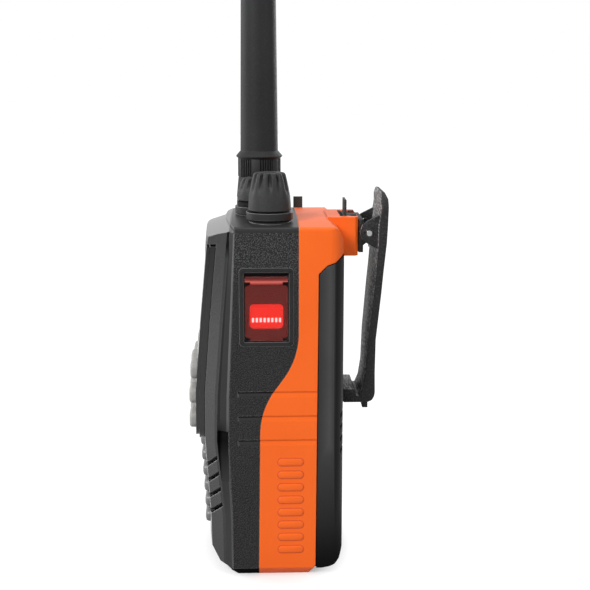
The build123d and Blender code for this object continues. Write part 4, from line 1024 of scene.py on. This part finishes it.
def makeFigures(text, middle, low, wide, tall, stroke, gap):
    # each figure is built from copies of one flat and one upright stroke
    half = tall / 2
    corner = 0.49 * stroke
    flat = flatBar(wide - 0.25 * stroke, stroke, corner, 1)
    upright = flatBar(stroke, half - 0.25 * stroke, corner, 1)
    spots = dict(a=(flat, 0, tall), g=(flat, 0, half), d=(flat, 0, 0),
                 b=(upright, wide / 2, 1.5 * half), c=(upright, wide / 2, 0.5 * half),
                 f=(upright, -wide / 2, 1.5 * half), e=(upright, -wide / 2, 0.5 * half))
    marks = []
    for x, figure in zip(inRow(len(text), wide + gap), text):
        for letter in figureStrokes[figure]:
            plate, dx, dz = spots[letter]
            marks.append(stamp(plate, middle + x + dx, low + dz))
    discard(flat, upright)
    return marks


# figures give text, middle, foot, width, height, stroke and gap; places are x and z, sizes width and height
displayLook = dict(channel=("16", -3.2, 93.8, 7.6, 13.6, 1.7, 4.0), point=(0.36, -1.0, 86.9),
                   frequency=("156800", -1.0, 86.9, 2.1, 4.3, 0.55, 1.5),
                   steps=5, stepPlace=(-16.6, 112.2), stepPitch=1.8, stepSize=(1.3, 0.8), stepGrow=0.62,
                   charge=(13.4, 113.5), chargeSize=(6.6, 3.0), chargeLine=0.3, chargeNub=(0.5, 1.3),
                   cells=3, cellPitch=1.85, cellSize=(1.4, 1.9), ruleSize=(35.0, 0.22), rules=(110.4, 92.2),
                   arrow=1.5, arrowX=13.6, arrows=((0, 104.4), (180, 97.4)))


def makeStrength():
    # steps on the left that grow taller
    look = displayLook
    x, z = look["stepPlace"]
    wide, tall = look["stepSize"]
    marks = []
    for index in range(look["steps"]):
        grow = look["stepGrow"] * index
        step = flatBar(wide, tall + grow)
        marks.append(stamp(step, x + look["stepPitch"] * index, z + grow / 2))
        discard(step)
    return marks


def makeCharge():
    # a battery outline on the right, with its nub and its cells
    look = displayLook
    x, z = look["charge"]
    wide, tall = look["chargeSize"]
    line = look["chargeLine"]
    level, upright = flatBar(wide, line), flatBar(line, tall)
    nub, cell = flatBar(*look["chargeNub"]), flatBar(*look["cellSize"])
    marks = [stamp(level, x, z + side * tall / 2) for side in (-1, 1)]
    marks += [stamp(upright, x + side * (wide - line) / 2, z) for side in (-1, 1)]
    marks.append(stamp(nub, x + (wide + look["chargeNub"][0]) / 2, z))
    marks += [stamp(cell, x + aside, z) for aside in inRow(look["cells"], look["cellPitch"])]
    discard(level, upright, nub, cell)
    return marks


def makeDisplay():
    look = displayLook
    glass = max(nodes["display_module"].data.polygons, key=lambda face: -face.normal.y * face.area)
    slope = -glass.normal.z / glass.normal.y
    marks = makeFigures(*look["channel"]) + makeFigures(*look["frequency"])
    radius, x, z = look["point"]
    point = flatDisc(radius, 12)
    marks.append(stamp(point, x, z))
    marks += makeStrength() + makeCharge()
    rule = flatBar(*look["ruleSize"])
    marks += [stamp(rule, 0, z) for z in look["rules"]]
    discard(point, rule)
    for turn, z in look["arrows"]:
        arrow = flatDisc(look["arrow"], 3, turn)
        marks.append(stamp(arrow, look["arrowX"], z))
        discard(arrow)
    layMarks(marks, lambda z: glass.center.y + slope * (z - glass.center.z), "displayFigures", "radio",
             segmentInk)


makeDisplay()

# plain marks on the keys: bars, arrow heads, a disc and a lamp with its rays
markLook = dict(bar=(3.4, 0.42), barPitch=1.05, round=0.15, head=1.15, headShift=0.9, dot=1.0, lamp=0.62,
                ray=(0.26, 0.62), rayReach=1.35, rays=8, stem=(0.45, 2.0), stemX=-1.2, backX=0.3)
arrowTurns = dict(key_up=0, key_right=90, key_down=180, key_left=270)


def makeKeyMarks():
    look = markLook
    bar = flatBar(*look["bar"], look["round"])
    heads = {turn: flatDisc(look["head"], 3, turn) for turn in arrowTurns.values()}
    dot, lamp = flatDisc(look["dot"]), flatDisc(look["lamp"])
    ray = flatBar(*look["ray"])
    stem = flatBar(*look["stem"], look["round"])

    def marksOf(name):
        if name == "key_menu":
            return [stamp(bar, 0, z) for z in inRow(3, look["barPitch"])]
        if name == "key_enter":
            return [stamp(dot, 0, 0)]
        if name == "key_light":
            beams = []
            for index in range(look["rays"]):
                angle = 2 * math.pi * index / look["rays"]
                beam = stamp(ray, look["rayReach"] * math.sin(angle), look["rayReach"] * math.cos(angle))
                beam.rotation_euler = (0, angle, 0)
                beams.append(beam)
            return beams + [stamp(lamp, 0, 0)]
        if name == "key_back":
            return [stamp(heads[270], look["backX"], 0), stamp(stem, look["stemX"], 0)]
        if name == "key_scan":
            return [stamp(heads[90], side * look["headShift"], 0) for side in (-1, 1)]
        return [stamp(heads[arrowTurns[name]], 0, 0)]

    for name in keyNames:
        middle = middleOf(name)
        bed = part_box(name)[0].y + keyLook["dish"] * mm
        marks = marksOf(name)
        for mark in marks:
            mark.location += Vector((middle.x, 0, middle.z))
        layMarks(marks, lambda z: bed, name + "Mark", name, keyInk)
    discard(bar, *heads.values(), dot, lamp, ray, stem)


makeKeyMarks()
print("display and key marks made")

# places and sizes in metres, angles in degrees; each lamp has a place, an aim, a size and a power
studio = dict(
    cameraPlace=(0.404, -0.00485, 0.17938), turn=1.94, pitch=11.31, focal=1100, width=590, sensor=36,
    ambient=0.22, floorHalf=3.0, floorLit=0.5, floorSeen=0.97, footShare=(0.52, 0.8, 1), fade=(0.013, 0.028),
    fadeLow=0.15, glow=1.12,
    lamps=dict(
        key=((0.58, -0.50, 0.62), (0, 0, 0.12), (0.35, 0.35), 6.9),
        fill=((0.55, 0.75, 0.50), (0, 0, 0.12), (0.5, 0.5), 2.0),
        front=((-0.35, -0.90, 0.40), (0, 0, 0.09), (0.6, 0.6), 4.5),
        back=((-0.75, 0.60, 0.35), (0, 0, 0.09), (0.25, 0.7), 3.0),
        top=((0.0, 0.05, 0.95), (0, 0, 0.1), (0.5, 0.5), 2.3)))


def placeInStudio(name, data, place, ahead):
    # a camera or lamp looks along its own -Z
    thing = bpy.data.objects.new(name, data)
    bpy.context.collection.objects.link(thing)
    thing.location = place
    thing.rotation_mode = "QUATERNION"
    thing.rotation_quaternion = ahead.to_track_quat("-Z", "Y")
    return thing


def makeCamera():
    look = studio
    data = bpy.data.cameras.new("camera")
    turn, pitch = math.radians(look["turn"]), math.radians(look["pitch"])
    ahead = Vector((-math.cos(turn) * math.cos(pitch), math.sin(turn) * math.cos(pitch), -math.sin(pitch)))
    data.sensor_width = look["sensor"]
    data.lens = look["sensor"] * look["focal"] / look["width"]
    data.clip_start, data.clip_end = 0.01, 20
    bpy.context.scene.camera = placeInStudio("camera", data, look["cameraPlace"], ahead)
    bpy.context.scene.view_settings.view_transform = "Standard"


def makeWorld():
    world = bpy.data.worlds.new("world")
    bpy.context.scene.world = world
    world.use_nodes = True
    world.node_tree.nodes.clear()
    sky = Nodes(world.node_tree)
    strength = studio["ambient"] + sky.seenRays() * (1 - studio["ambient"])
    backdrop = sky.add("ShaderNodeBackground", None, {"Color": (1, 1, 1), "Strength": strength})
    sky.add("ShaderNodeOutputWorld", None, {"Surface": backdrop})


def makeFloor():
    # the floor glows white to the camera away from the foot, and keeps the shadow close to it
    look = studio
    selectNothing()
    bpy.ops.mesh.primitive_plane_add(size=2 * look["floorHalf"])
    floor = bpy.context.object
    floor.name = "floor"
    finish = Finish("floor", Roughness=0.9, Specular_IOR_Level=0)
    finish.set(Base_Color=finish.blend(finish.seenRays(), (look["floorLit"],) * 3, (look["floorSeen"],) * 3))
    near = finish.add("ShaderNodeMapping", None, {"Vector": finish.place, "Scale": look["footShare"]})
    far = finish.add("ShaderNodeVectorMath", {"operation": "LENGTH"}, {0: near}, out="Value")
    fade = finish.add("ShaderNodeMapRange", {"interpolation_type": "SMOOTHSTEP"},
                      {"Value": far, "From Min": look["fade"][0], "From Max": look["fade"][1],
                       "To Min": look["fadeLow"], "To Max": 1.0})
    rays = finish.add("ShaderNodeLightPath", out="Is Camera Ray")
    glow = finish.add("ShaderNodeEmission", None, {"Color": (1, 1, 1), "Strength": look["glow"]})
    finish.overlay(rays * fade, glow)
    floor.data.materials.append(finish.material)


def makeLamps():
    for name, (place, aim, size, power) in studio["lamps"].items():
        data = bpy.data.lights.new(name, "AREA")
        data.shape = "RECTANGLE"
        data.size, data.size_y = size
        data.energy = power
        placeInStudio(name, data, place, Vector(aim) - Vector(place))


makeCamera()
makeWorld()
makeFloor()
makeLamps()
print("studio ready")
